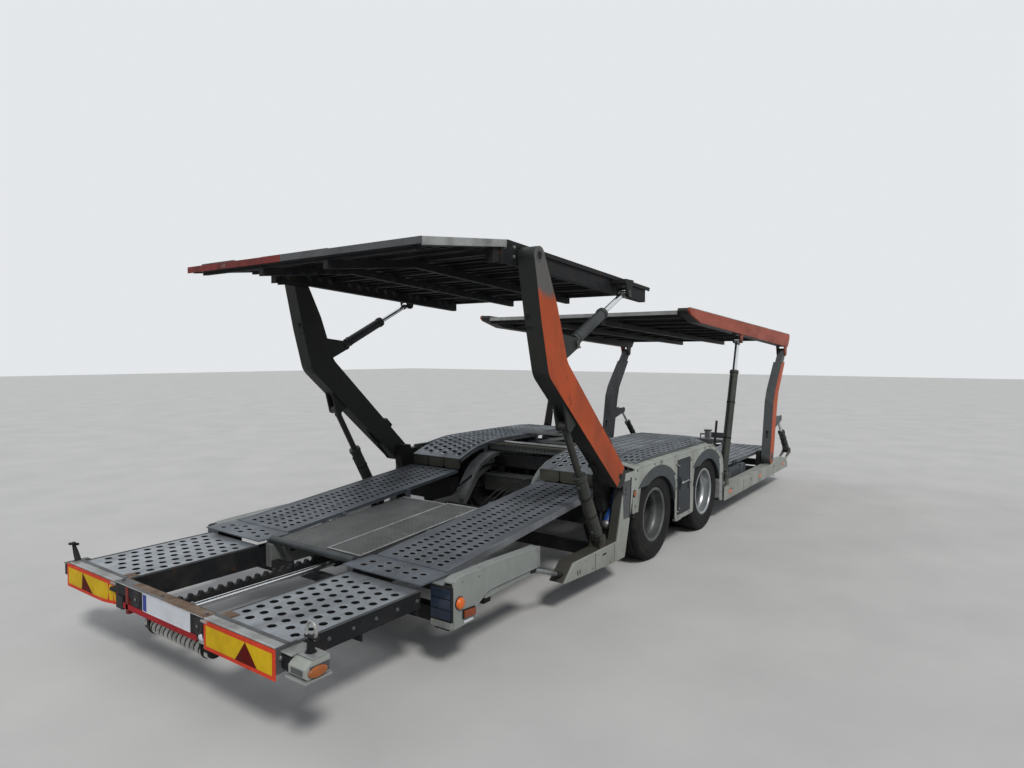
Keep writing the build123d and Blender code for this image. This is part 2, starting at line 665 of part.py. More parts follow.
def fender_arches():
    """The liners over the tyres, and the faces that close them to the skins."""
    shapes = []
    for s in AXLE_S:
        hub = (s, TYRE_R)
        liner = cross_bar(hub, TRACK_OUT + 15, FACE_IN, LINER_R) - cross_bar(hub, TRACK_OUT, SKIN_OUT, LINER_R - LINER_T)
        liner &= above(hub, TRACK_OUT, SKIN_OUT, 60)
        y0, y1 = FACE_IN, SKIN_OUT + 2
        outline = tuple(r - SEAT_GAP for r in FACE_OVAL)
        face = oval(hub, outline, y0, y1) & above(hub, y0, y1, FACE_UNDER + SEAT_GAP)
        front = mouth_sides(hub, y0, y1, MOUTH_HALF - SEAT_GAP) & above(hub, y0, y1, 50)
        face += front & block(s, s + MOUTH_HALF, y0, y1, TYRE_R, TYRE_R + FACE_UNDER + 1)
        face -= oval(hub, MOUTH_OVAL, y0 - 1, y1 + 1)
        shapes += [liner, face]
    return pairs(shapes)


LOCKER_IN = SKIN_OUT - 170
LOCKER_WALL = 6


def lockers():
    """The box behind each locker door, open on its outer side."""
    s0, s1 = DOOR_S
    z0, z1 = DOOR_Z
    case = block(s0 + 2, s1 - 2, LOCKER_IN, SKIN_OUT - SKIN_T - 14, z0 + 2, z1 - 2)
    wall = 2 + LOCKER_WALL
    case -= block(s0 + wall, s1 - wall, LOCKER_IN + LOCKER_WALL, SKIN_OUT, z0 + wall, z1 - wall)
    return pair(case)


DOOR_T = 14
DOOR_PROUD = 2
LATCH = (60, 30, 80)  # distances of its edges from the door's front, and its height
KNUCKLE_GAP = 4


def locker_door(side):
    """A door with its latch, and the hinge knuckle round the fender's hinge pin."""
    s0, s1 = DOOR_S
    z0, z1 = DOOR_Z
    face = SKIN_OUT + DOOR_PROUD
    door = block(s0 + DOOR_GAP, s1 - DOOR_GAP, face - DOOR_T, face, z0 + DOOR_GAP, z1 - DOOR_GAP)
    middle = (z0 + z1) / 2
    door += block(s1 - LATCH[0], s1 - LATCH[1], face - 1, face + 7, middle - LATCH[2] / 2, middle + LATCH[2] / 2)
    low, high = HINGE_STUBS[0] + STUB_T + KNUCKLE_GAP, HINGE_STUBS[1] - KNUCKLE_GAP
    door += block(HINGE_S, s0 + 40, face - 1, HINGE_Y - HINGE_R - 1, low, high)
    door += Pos(HINGE_S, HINGE_Y, low) * Cylinder(KNUCKLE_R, high - low, align=UPRIGHT)
    door -= Pos(HINGE_S, HINGE_Y, z0) * Cylinder(HINGE_R + RUN_FIT, z1 - z0, align=UPRIGHT)
    return [door if side > 0 else mirror(door, about=Plane.XZ)]


LIFT_EAR = ((-45, -70), (45, -70), (35, 0), (-35, 0))
FRONT_LIFT_EAR = ((-60, -150), (60, -150), (38, 0), (-38, 0))
POST_CYL_EAR = ((-280, -120), (-275, -84), (-24, 8), (14, -37))


def rear_rails():
    """Low rails ahead of the wheels, their slanted posts, and the lift cylinders' lower ears."""
    s, top = HUMP_REAR, LOW_UNDER + 5
    rail = slab([(s - 780, 235), (s - 650, top), (s + 140, top), (s + 140, 195), (s - 40, 195)], RAIL_IN, RAIL_OUT)
    post = slab([(s - 30, 195), (s + 142, 195), (s + 335, 852), (s + 162, 852)], RAIL_IN + 40, RAIL_OUT)
    return pair(rail + post + pinned_ears(LIFT_LOW, LIFT_EAR, CYLINDER_Y, CYL_PIN_R))


def front_rails():
    """Low rails ahead of the wheels, with the lower ears of the front cylinders."""
    top = FRONT_UNDER + 52
    s0, s1 = HUMP_FRONT + 10, FRAME_FRONT
    rail = slab(
        [
            (s0, 207), (s0 + 20, top - 16), (s0 + 190, top - 16), (s0 + 230, top), (s1 - 140, top),
            (s1 - 30, 235), (s1 - 60, 207),
        ],
        RAIL_IN, RAIL_OUT,
    )
    rail += pinned_ears(FRONT_LIFT_LOW, FRONT_LIFT_EAR, FRONT_CYL_Y, CYL_PIN_R)
    rail += pinned_ears(POST_CYL_LOW, POST_CYL_EAR, FRONT_CYL_Y, CYL_PIN_R)
    return pair(rail)


ARM_BRACKET = ((-20, -290), (75, -290), (85, -40), (60, 62), (-50, 70), (-75, -30))
ARM_BRACKET_Y = (TRACK_OUT + 7, ARM_IN - MOVE_GAP)
POST_FOOT = FRONT_UNDER - POST_BASE[1]
POST_BRACKET = ((-90, POST_FOOT), (90, POST_FOOT), (70, 70), (-70, 70))
POST_BRACKET_Y = (RAIL_IN - 60, POST_IN - MOVE_GAP - 12)


def pivot_brackets():
    """The plates that carry the base pins of the arms and the posts."""
    rear = slab([at(ARM_BASE, ds, dz) for ds, dz in ARM_BRACKET], *ARM_BRACKET_Y)
    rear += cross_bar(ARM_BASE, ARM_BRACKET_Y[0], ARM_OUT - 2, PIN_R)
    front = slab([at(POST_BASE, ds, dz) for ds, dz in POST_BRACKET], *POST_BRACKET_Y)
    front += cross_bar(POST_BASE, POST_BRACKET_Y[0], POST_OUT + 1, PIN_R)
    return pairs([rear, front])


GUARD_OUTLINE = (
    (880, 300), (880, 612), (1190, 612), (1240, 565), (1840, 560), (1840, 400), (1330, 365), (1190, 300),
)
GUARD_WALL = 20


def side_guards():
    """Side plates beside the step plates, boxed in at the rear for the lamps."""
    inner = GUARD_OUT - GUARD_T
    low, high, back = 300, 500, GUARD_OUTLINE[0][0]
    reach = TRACK_OUT + 27
    guard = slab(GUARD_OUTLINE, inner, GUARD_OUT)
    guard += block(back, back + 300, reach, inner + 1, low, low + 30)
    guard += block(back, back + GUARD_WALL, reach, inner + 1, low, high)
    bracket = FRAME_REAR + 150
    half = OUTRIGGER_T / 2
    guard += block(bracket - half, bracket + half, TRACK_OUT + 25, inner + 1, *LOW_OUT)
    return pair(guard)


LAMP_T = 14


def side_lamps():
    """A marker lamp on each side guard and each fender, and a round reflector beside the first."""
    rear_lamp = block(975, 1055, GUARD_OUT, GUARD_OUT + LAMP_T, 395, 435)
    reflector = cross_bar((925, 450), GUARD_OUT, GUARD_OUT + 8, 36)
    fender_lamp = cross_bar((HUMP_REAR + 372, 648), SKIN_OUT, SKIN_OUT + 12, 24)
    return pairs([rear_lamp, reflector, fender_lamp])


PIPE_R = 25


def cross_pipe():
    return [cross_bar((FRAME_REAR + 35, LOW_TOP + PIPE_R), -BEAM_OUT + 25, BEAM_OUT - 25, PIPE_R)]


TANK_S = (HUMP_FRONT + 530, HUMP_FRONT + 1280)
TANK_Z = (235, 455)
TANK_Y = (RAIL_IN - 260, RAIL_IN - 14)
TANK_CORNER_R = 40
STRAP_W = 50
HANDLE_R = 9
HANDLE_UP = 55


def side_tanks():
    """A tank strapped inside each front rail, with a grab handle on top."""
    tank = block(*TANK_S, *TANK_Y, *TANK_Z)
    tank = fillet(tank.edges().filter_by(Axis.X), TANK_CORNER_R)
    for s in (TANK_S[0] + 120, TANK_S[1] - 120 - STRAP_W):
        tank += block(s, s + STRAP_W, TANK_Y[1] - 1, RAIL_IN, TANK_Z[0] + 60, TANK_Z[0] + 90)
    s0, s1 = TANK_S[0] + 400, TANK_S[0] + 520
    y, z = TANK_Y[1] - TANK_CORNER_R - 10, TANK_Z[1]
    top = z + HANDLE_UP
    for s in (s0, s1):
        tank += barrel_between((s, y, z - 1), (s, y, top), HANDLE_R)
    tank += barrel_between((s0 - HANDLE_R, y, top), (s1 + HANDLE_R, y, top), HANDLE_R)
    return pair(tank)


DAMPER_LOW = (HUMP_REAR + 80, 440)
DAMPER_TOP = (HUMP_REAR + 300, 700)
DAMPER_Y = RAIL_IN - 10
DAMPER_R = 34
CLAMP_S = (HUMP_REAR + 205, HUMP_REAR + 235)


def post_dampers():
    """A slanted bottle clamped to the inner face of each rear rail's post."""
    (s0, z0), (s1, z1) = DAMPER_LOW, DAMPER_TOP
    bottle = barrel_between((s0, DAMPER_Y, z0), (s1, DAMPER_Y, z1), DAMPER_R)
    bottle += block(*CLAMP_S, DAMPER_Y, RAIL_IN + 40, 585, 615)
    return pair(bottle)


def extension_frame():
    """The sliding frame: crossbar, inner runners, outer edges and cross pieces."""
    rail_top = EXT_TOP - SHEET
    frame = block(*BAR_S, -TRACK_OUT, TRACK_OUT, 435, EXT_TOP + 7)
    left = block(BAR_S[1] - 10, EXT_RUNNER_END, TRACK_IN, TRACK_IN + 40, LOW_UNDER + 5, rail_top)
    left += block(BAR_S[1] - 10, EXT_LENGTH, TRACK_OUT - 35, TRACK_OUT, EXT_UNDER, rail_top)
    for s in (90, 500, 900):
        left += block(s, s + 12, TRACK_IN, TRACK_OUT, 352, rail_top)
    frame += left + mirror(left, about=Plane.XZ)
    frame += block(90, 140, -TRACK_OUT, TRACK_OUT, 352, RACK_Z[0])
    return [frame]


def extension_runways():
    return pair(block(BAR_S[1], EXT_LENGTH, TRACK_IN, TRACK_OUT, EXT_TOP - SHEET, EXT_TOP))


def extension_rack():
    rack = block(95, ROD_END, *RACK_Y, *RACK_Z)
    count = int((ROD_END - 180) / TOOTH_PITCH)
    for i in range(count):
        s = 150 + TOOTH_PITCH * i
        root, tip = RACK_Z[1] - 1, RACK_Z[1] + TOOTH_H
        rack += slab([(s, root), (s + 8, tip), (s + 24, tip), (s + 32, root)], *RACK_Y)
    return [rack]


def extension_rod():
    return [barrel_between((BAR_S[1], ROD_Y, ROD_Z), (ROD_END, ROD_Y, ROD_Z), ROD_R)]


def extension_barrel():
    bore_end = ROD_END + EXT_TRAVEL + 60
    tube = barrel_between((BARREL_MOUTH, ROD_Y, ROD_Z), (bore_end + 40, ROD_Y, ROD_Z), ROD_R + 12)
    for s in (FRAME_REAR + 530, FRAME_REAR + 1330):
        tube += block(s - 20, s + 20, ROD_Y - 20, ROD_Y + 20, 390, ROD_Z - ROD_R)
    tube -= barrel_between((BARREL_MOUTH, ROD_Y, ROD_Z), (bore_end, ROD_Y, ROD_Z), ROD_R + RUN_FIT)
    return [tube]


def marker_boards():
    return pair(block(0, BOARD_T, TRACK_OUT - BOARD_W, TRACK_OUT, 338, 478))


def number_panel():
    plate = block(0, BOARD_T, -PANEL_EDGE, PANEL_W - PANEL_EDGE, 405, 500)
    strip = block(0, BOARD_T, -PANEL_EDGE - 10, PANEL_W - PANEL_EDGE + 10, 380, 405)
    return [plate, strip]


HOSE_S = 120
HOSE_Z = 300
HOSE_Y = (-480, 230)
HOSE_R = 45
HOOK_W = 30


def hose_roll():
    """A coiled air line hung under the crossbar on two hooks."""
    roll = cross_bar((HOSE_S, HOSE_Z), *HOSE_Y, HOSE_R)
    for y in (HOSE_Y[0] + 60, HOSE_Y[1] - 60 - HOOK_W):
        roll += block(HOSE_S - HOOK_W / 2, HOSE_S + HOOK_W / 2, y, y + HOOK_W, HOSE_Z + 20, 352)
    return [roll]


def corner_boxes():
    """A lamp box at the right rear corner, a block at the left one, and a short post on each."""
    y = TRACK_OUT
    right = slab([(25, 395), (25, 452), (60, 470), (150, 470), (150, 395)], -y - 125, -y)
    left = block(25, 150, y, y + 95, 400, 470)
    right += barrel_between((95, -y - 55, 469), (95, -y - 55, 560), 16)
    left += barrel_between((75, y + 55, 465), (60, y + 85, 600), 16)
    return [right, left]


ARM_LUG = ((-110, 215), (-80, 262), (-150, 328), (-190, 292))
ARM_LIFT_EAR = ((-90, 190), (110, 30), (34, -20), (-40, 0))
ARM_TILT_EAR = ((-230, 60), (-190, -130), (10, -36), (10, 36))


def rear_arms():
    """The cranked arms: pin bosses at both ends, ears for both cylinders and a stop lug near the base."""
    arm = slab_from(ARM_BASE, ARM_OFFSETS, ARM_IN, ARM_OUT)
    arm += cross_bar(ARM_BASE, ARM_IN, ARM_OUT, ARM_BASE_R)
    arm += cross_bar(ARM_TIP, ARM_IN, ARM_OUT, ARM_TIP_R)
    arm += slab([at(ARM_BASE, ds, dz) for ds, dz in ARM_LUG], ARM_IN + 30, ARM_OUT - 30)
    for point in (ARM_BASE, ARM_TIP):
        arm -= cross_bar(point, ARM_IN - 20, ARM_OUT + 20, PIN_R + RUN_FIT)
    arm -= cross_bar(ARM_TIP, ARM_OUT - PIN_RECESS, ARM_OUT + 1, ARM_TIP_R - 16)
    for plate in ears(LIFT_EYE, ARM_LIFT_EAR, CYLINDER_Y):
        arm += plate
    arm += pinned_ears(TILT_LOW, ARM_TILT_EAR, CYLINDER_Y, CYL_PIN_R)
    return pair(arm)


PLATFORM_EAR = ((-70, 100), (70, 100), (38, 0), (-38, 0))
PLATFORM_RIBS = 8
TAIL_SHARE = 0.26


def rear_platform_beams():
    """The side beams with the arms' pins and the tilt cylinders' ears, and two stringers under the ribs."""
    (s0, _), (bend, _), (s1, _) = DECK_LINE
    y0 = SIDE_BEAM_OUT - SIDE_BEAM_W
    beam = along(DECK_LINE, bend - 140, s1 - 80, SHEET, SIDE_BEAM_DEPTH, y0, SIDE_BEAM_OUT)
    beam += along(DECK_LINE, s0 + 10, bend - 139, SHEET, TAIL_BEAM_DEPTH, y0, SIDE_BEAM_OUT)
    beam += cross_bar(ARM_TIP, y0, ARM_OUT - PIN_RECESS + 4, PIN_R)
    for plate in ears(TILT_EYE, PLATFORM_EAR, CYLINDER_Y):
        beam += plate
    s, z = TILT_EYE
    reach = CYLINDER_Y + EAR_GAP / 2 + EAR_T
    beam += block(s - 70, s + 70, SIDE_BEAM_OUT - 5, reach, z + 70, z + 100)
    width = (STRINGER_IN, STRINGER_IN + STRINGER_W)
    stringer = along(DECK_LINE, s0 + 10, s1 - 80, SHEET + RIB_DEPTH, STRINGER_DEPTH, *width)
    return pairs([beam, stringer])


def rib_stations(line, count):
    """Evenly spaced stations for ribs between the ends of a line."""
    s0, s1 = line[0][0] + 30, line[-1][0] - 90 - RIB_W
    return [s0 + (s1 - s0) * i / (count - 1) for i in range(count)]


def rear_platform_ribs():
    half = SIDE_BEAM_OUT - SIDE_BEAM_W
    return [
        along(DECK_LINE, s, s + RIB_W, SHEET, RIB_DEPTH, -half, half)
        for s in rib_stations(DECK_LINE, PLATFORM_RIBS)
    ]


DECK_ROWS = 12
DECK_HOLE = (110, 80)


def opened(deck, s0, s1, half):
    """A deck with a plain grid of openings over its whole length and width, clear of its ribs' middles."""
    step_s, step_y = (s1 - s0) / DECK_ROWS, 2 * half / DECK_ROWS
    cuts = []
    for i in range(DECK_ROWS):
        for j in range(DECK_ROWS):
            s, y = s0 + (i + 0.5) * step_s, -half + (j + 0.5) * step_y
            low, high = FRONT_LIFT_EYE[1] - 100, DECK_LINE[1][1] + 100
            cuts.append(
                block(s - DECK_HOLE[0] / 2, s + DECK_HOLE[0] / 2, y - DECK_HOLE[1] / 2, y + DECK_HOLE[1] / 2, low, high)
            )
    return deck - cuts


def rear_platform_deck():
    (s0, _), _, (s1, _) = DECK_LINE
    deck = along(DECK_LINE, s0, s1, 0, SHEET, -DECK_HALF, DECK_HALF)
    return [opened(deck, s0, s1, DECK_HALF - 60)]


FRONT_DROP = 30
FRONT_RIBS = 9
FRONT_EYE_EAR = ((-60, 100), (60, 100), (38, 0), (-38, 0))
POST_TIP_EAR = ((-90, 110), (70, 110), (46, 0), (-46, 0))


def front_platform_beams():
    """The deep side beams, rounded at the rear, with ears for the lift cylinders and the posts."""
    (s0, z0), (s1, z1) = FRONT_BEAM_TOP
    outline = (
        (s0 + 28, z0 - 2, 0), (s1, z1, 12), (s1, z1 - 60, 20), (s1 - 90, z1 - FRONT_BEAM_DEPTH[1], 20),
        (s0 + 330, z0 - FRONT_BEAM_DEPTH[0], 160), (s0 + 60, z0 - 60, 30), (s0 + 20, z0 - 30, 10),
    )
    beam = slab([(s, z) for s, z, _ in outline], FRONT_BEAM_IN, HALF_WIDTH, [r for _, _, r in outline])
    for plate in ears(FRONT_LIFT_EYE, FRONT_EYE_EAR, FRONT_CYL_Y):
        beam += plate
    beam += pinned_ears(POST_TIP, POST_TIP_EAR, FRONT_CYL_Y, PIN_R, 50, POST_HEAD_W + 10, 14)
    drop = FRONT_DROP + RIB_DEPTH
    width = (STRINGER_IN, STRINGER_IN + STRINGER_W)
    stringer = along(FRONT_BEAM_TOP, s0 + 60, s1 - 30, drop, STRINGER_DEPTH, *width)
    return pairs([beam, stringer])


def front_platform_ribs():
    return [
        along(FRONT_BEAM_TOP, s + 30, s + 30 + RIB_W, FRONT_DROP, RIB_DEPTH, -FRONT_BEAM_IN, FRONT_BEAM_IN)
        for s in rib_stations(FRONT_BEAM_TOP, FRONT_RIBS)
    ]


def front_platform_deck():
    (s0, _), (s1, _) = FRONT_BEAM_TOP
    deck = along(FRONT_BEAM_TOP, s0 + 40, s1 - 10, FRONT_DROP - SHEET, SHEET, -FRONT_BEAM_IN, FRONT_BEAM_IN)
    return [opened(deck, s0 + 40, s1 - 10, FRONT_BEAM_IN - 20)]


POST_EYE_EAR = ((-330, 40), (-350, -120), (10, -36), (10, 36))


def front_posts():
    """The cranked posts: a narrow head between the platform's ears, and ears for the post cylinders."""
    post = slab_from(POST_BASE, POST_OFFSETS, POST_IN, POST_OUT)
    post += cross_bar(POST_BASE, POST_IN, POST_OUT, POST_BASE_R)
    s, z = POST_TIP
    head = (FRONT_CYL_Y - POST_HEAD_W / 2, FRONT_CYL_Y + POST_HEAD_W / 2)
    for y0, y1 in ((POST_IN - 10, head[0]), (head[1], POST_OUT + 10)):
        post -= block(s - 185, s + 215, y0, y1, z - 138, z + 212)
    post += cross_bar(POST_TIP, *head, POST_TIP_R)
    for point in (POST_TIP, POST_BASE):
        post -= cross_bar(point, POST_IN - 20, POST_OUT + 20, PIN_R + RUN_FIT)
    for plate in ears(POST_CYL_EYE, POST_EYE_EAR, FRONT_CYL_Y):
        post += plate
    return pair(post)


NODES = {
    "main_frame": main_frame, "cross_members": cross_members, "outriggers": outriggers, "drawbar": drawbar,
    "support_leg": support_leg, "axle_beams": axle_beams, "suspension_arms": suspension_arms,
    "air_bags": air_bags, "rear_ramps": rear_ramps, "step_plates": step_plates,
    "centre_covers": centre_covers, "wheel_decks": wheel_decks, "front_runways": front_runways,
    "fenders": fenders, "fender_arches": fender_arches, "lockers": lockers, "rear_rails": rear_rails,
    "front_rails": front_rails, "pivot_brackets": pivot_brackets, "side_guards": side_guards,
    "side_lamps": side_lamps, "side_tanks": side_tanks, "post_dampers": post_dampers, "cross_pipe": cross_pipe,
    "extension_barrel": extension_barrel, "extension_frame": extension_frame,
    "extension_runways": extension_runways, "extension_rack": extension_rack, "extension_rod": extension_rod,
    "marker_boards": marker_boards, "number_panel": number_panel, "hose_roll": hose_roll,
    "corner_boxes": corner_boxes, "rear_arms": rear_arms, "rear_platform_beams": rear_platform_beams,
    "rear_platform_ribs": rear_platform_ribs, "rear_platform_deck": rear_platform_deck,
    "front_posts": front_posts, "front_platform_beams": front_platform_beams,
    "front_platform_ribs": front_platform_ribs, "front_platform_deck": front_platform_deck,
}
for cylinder in CYLINDERS:
    NODES[cylinder + "_barrels"] = lambda name=cylinder: barrels(name)
    NODES[cylinder + "_rods"] = lambda name=cylinder: rods(name)
for side_name, side in (("left", 1), ("right", -1)):
    NODES["locker_door_" + side_name] = lambda side=side: locker_door(side)
    for axle_name, axle in (("rear", 0), ("front", 1)):
        NODES[f"tyres_{axle_name}_{side_name}"] = lambda axle=axle, side=side: tyres(AXLE_S[axle], side)
        NODES[f"rims_{axle_name}_{side_name}"] = lambda axle=axle, side=side: rims(AXLE_S[axle], side)

for name, make in NODES.items():
    solids = [solid for shape in make() for solid in shape.solids()]
    moved = [Pos(-LENGTH / 2, 0, 0) * solid for solid in solids]
    export_step(Compound(children=moved), f"parts/{name}.step")
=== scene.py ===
import bpy
import bmesh
import json
import math
import random
from mathutils import Matrix, Vector


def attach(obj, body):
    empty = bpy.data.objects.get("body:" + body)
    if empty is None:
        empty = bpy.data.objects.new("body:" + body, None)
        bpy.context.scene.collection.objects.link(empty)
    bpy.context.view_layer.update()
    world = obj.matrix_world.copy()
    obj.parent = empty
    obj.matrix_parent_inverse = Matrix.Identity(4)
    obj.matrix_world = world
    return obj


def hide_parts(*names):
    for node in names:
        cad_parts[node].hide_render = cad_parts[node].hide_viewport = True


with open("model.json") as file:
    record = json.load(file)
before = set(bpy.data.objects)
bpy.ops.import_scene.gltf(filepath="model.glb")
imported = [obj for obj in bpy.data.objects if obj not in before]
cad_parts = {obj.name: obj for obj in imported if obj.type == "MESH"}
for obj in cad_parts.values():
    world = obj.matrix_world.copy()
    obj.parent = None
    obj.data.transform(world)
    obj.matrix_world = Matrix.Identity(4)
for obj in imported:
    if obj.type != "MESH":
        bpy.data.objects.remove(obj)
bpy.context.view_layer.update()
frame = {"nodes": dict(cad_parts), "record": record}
nodes = frame["nodes"]
random.seed(7)

# Stations run forward from the rear end: x = station - HALF, in metres
HALF = 4.8
# Below TINY a length is nothing, and SLACK keeps a count that fits exactly from being cut
TINY, SLACK = 1e-6, 0.01
SIDES = (("left", 1), ("right", -1))

# Materials
MATS = {}


def new_material(name):
    mat = bpy.data.materials.new(name)
    mat.use_nodes = True
    tree = mat.node_tree
    bsdf = tree.nodes["Principled BSDF"]
    return mat, tree, bsdf


def fill(node, **values):
    """Sets a node's inputs, with _ for the space in their names."""
    for name, value in values.items():
        node.inputs[name.replace("_", " ")].default_value = value


def noise(tree, coord, scale, detail=4.0, rough=0.55, stretch=(1, 1, 1), offset=(0, 0, 0)):
    mapping = tree.nodes.new("ShaderNodeMapping")
    fill(mapping, Scale=stretch, Location=offset)
    tree.links.new(coord, mapping.inputs["Vector"])
    node = tree.nodes.new("ShaderNodeTexNoise")
    fill(node, Scale=scale, Detail=detail, Roughness=rough)
    tree.links.new(mapping.outputs["Vector"], node.inputs["Vector"])
    return node.outputs["Fac"]


def remap(tree, value, a, b, lo, hi):
    node = tree.nodes.new("ShaderNodeMapRange")
    fill(node, From_Min=a, From_Max=b, To_Min=lo, To_Max=hi)
    tree.links.new(value, node.inputs["Value"])
    return node.outputs["Result"]


def calc(tree, operation, a, b=None):
    node = tree.nodes.new("ShaderNodeMath")
    node.operation = operation
    for socket, value in zip(node.inputs, (a, b)):
        if isinstance(value, (int, float)):
            socket.default_value = value
        elif value is not None:
            tree.links.new(value, socket)
    return node.outputs["Value"]


def mix_color(tree, fac, a, b):
    node = tree.nodes.new("ShaderNodeMix")
    node.data_type = "RGBA"
    for socket, value in ((node.inputs[0], fac), (node.inputs[6], a), (node.inputs[7], b)):
        if isinstance(value, (int, float)):
            socket.default_value = value
        elif isinstance(value, tuple):
            socket.default_value = (*value, 1)
        else:
            tree.links.new(value, socket)
    return node.outputs[2]


def bump(tree, bsdf, height, strength, distance):
    node = tree.nodes.new("ShaderNodeBump")
    fill(node, Strength=strength, Distance=distance)
    tree.links.new(height, node.inputs["Height"])
    tree.links.new(node.outputs["Normal"], bsdf.inputs["Normal"])


def toned(tree, broad, base, shade):
    """A colour that wanders a little darker and lighter."""
    dark = tuple(c * (1 - shade) for c in base)
    light = tuple(min(1.0, c * (1 + shade)) for c in base)
    return mix_color(tree, remap(tree, broad, 0.3, 0.7, 0, 1), dark, light)


def tread_bars(tree, x, y, pitch):
    """Short raised bars in two crossing directions, as on a tread plate."""
    bars = []
    for turn in (1, -1):
        turned_y = calc(tree, "MULTIPLY", y, turn)
        waves = []
        for way, period in (("ADD", pitch), ("SUBTRACT", pitch / 2)):
            angle = calc(tree, "MULTIPLY", calc(tree, way, x, turned_y), math.tau / period)
            waves.append(calc(tree, "SINE", angle))
        bars.append(calc(tree, "MULTIPLY", remap(tree, waves[0], 0.1, 0.5, 0, 1),
                         remap(tree, waves[1], 0.55, 0.9, 0, 1)))
    return calc(tree, "MAXIMUM", *bars)


def surface(name, base, rough, metal=0.0, shade=0.18, scale=3.0, dirt=(0.03, 0.026, 0.022),
            dirt_amount=0.5, dirt_scale=5.0, streak=(1, 1, 1), grain=260.0, grain_strength=0.25,
            worn=None, worn_amount=0.0, worn_scale=14.0, low_dirt=0.0, coat=0.0, specular=0.24,
            outside=None, faded=None, tread=0.0, dark_ears=None, dark_foot=None):
    """Paint, metal or plastic with uneven tone, dirt in patches and low down, worn spots and grain.

    outside is (distance out, colour) of the outer faces, faded is (height, blend, colour) of their
    top end, dark_ears is (front limit, lower limit, colour) of the ears on a rail, dark_foot is
    (slope, limit, colour) of what lies below a slanted line, and tread is the pitch of the bars,
    which get a painted highlight.
    """
    mat, tree, bsdf = new_material(name)
    coord = tree.nodes.new("ShaderNodeTexCoord").outputs["Object"]
    axes = tree.nodes.new("ShaderNodeSeparateXYZ")
    tree.links.new(coord, axes.inputs["Vector"])
    x, y, z = (axes.outputs[axis] for axis in "XYZ")
    broad = noise(tree, coord, scale, 5, 0.6, streak)
    patches = noise(tree, coord, dirt_scale, 7, 0.68, streak, (3.1, 1.7, 0.4))
    color = toned(tree, broad, base, shade)
    if outside:
        limit, paint = outside
        out = toned(tree, broad, paint, shade)
        if faded:
            height, blend, pale = faded
            edge = calc(tree, "ADD", z, remap(tree, patches, 0.3, 0.7, -blend, blend))
            share = remap(tree, edge, height - blend / 2, height + blend / 2, 0, 1)
            out = mix_color(tree, share, out, pale)
        away = calc(tree, "ABSOLUTE", y)
        color = mix_color(tree, calc(tree, "GREATER_THAN", away, limit), color, out)
    if dark_foot:
        slope, limit, paint = dark_foot
        fall = calc(tree, "SUBTRACT", z, calc(tree, "MULTIPLY", x, slope))
        color = mix_color(tree, calc(tree, "LESS_THAN", fall, limit), color, paint)
    if dark_ears:
        x_limit, z_limit, paint = dark_ears
        rear = calc(tree, "LESS_THAN", x, x_limit)
        high = calc(tree, "GREATER_THAN", z, z_limit)
        color = mix_color(tree, calc(tree, "MULTIPLY", rear, high), color, paint)
    amount = remap(tree, patches, 0.46, 0.72, 0, dirt_amount)
    if low_dirt:
        height = remap(tree, z, 0.15, 1.0, low_dirt, 0)
        splashed = calc(tree, "MULTIPLY", height, remap(tree, patches, 0.3, 0.7, 0.4, 1))
        amount = calc(tree, "MAXIMUM", amount, splashed)
    color = mix_color(tree, amount, color, dirt)
    if worn is not None:
        spots = noise(tree, coord, worn_scale, 9, 0.75, streak, (0.7, 5.2, 2.6))
        color = mix_color(tree, remap(tree, spots, 0.60, 0.66, 0, worn_amount), color, worn)
    relief = noise(tree, coord, grain, 3, 0.6)
    specks = remap(tree, relief, 0.35, 0.65, 0.0, 0.14)
    color = mix_color(tree, specks, color, tuple(c * 0.7 for c in base))
    depth = 0.0006
    if tread:
        relief = tread_bars(tree, x, y, tread)
        grain_strength, depth = 0.8, 0.0015
        # The raised bars are mixed lighter: a painted highlight on them
        bar_highlight = tuple(min(1, c * 1.8) for c in base)
        color = mix_color(tree, calc(tree, "MULTIPLY", relief, 0.55), color, bar_highlight)
    tree.links.new(color, bsdf.inputs["Base Color"])
    tree.links.new(remap(tree, patches, 0.3, 0.7, *rough), bsdf.inputs["Roughness"])
    fill(bsdf, Metallic=metal, Coat_Weight=coat, Specular_IOR_Level=specular)
    bump(tree, bsdf, relief, grain_strength, depth)
    MATS[name] = mat


RUST = (0.13, 0.05, 0.02)
DUST = (0.12, 0.105, 0.085)
ARM_BLACK = (0.022, 0.025, 0.023)
RED_ORANGE = (0.42, 0.070, 0.018)
BEAM_ORANGE = (0.33, 0.062, 0.030)
PALE = (0.36, 0.385, 0.36)
UPRIGHT = (1, 1, 0.45)
RUSTY = dict(worn=RUST, worn_amount=0.5)
PLATE = dict(scale=5, streak=(0.5, 1, 1))
RAIL = dict(rough=(0.42, 0.62), shade=0.12, dirt=(0.075, 0.068, 0.05), dirt_amount=0.62,
            low_dirt=0.55, streak=UPRIGHT, **RUSTY)
BEAM = dict(rough=(0.45, 0.65), shade=0.2, dirt=(0.05, 0.032, 0.026), worn=(0.34, 0.20, 0.15),
            worn_amount=0.5, streak=(0.4, 1, 1))
LENS = dict(rough=(0.2, 0.35), shade=0.3, scale=18, coat=0.3)

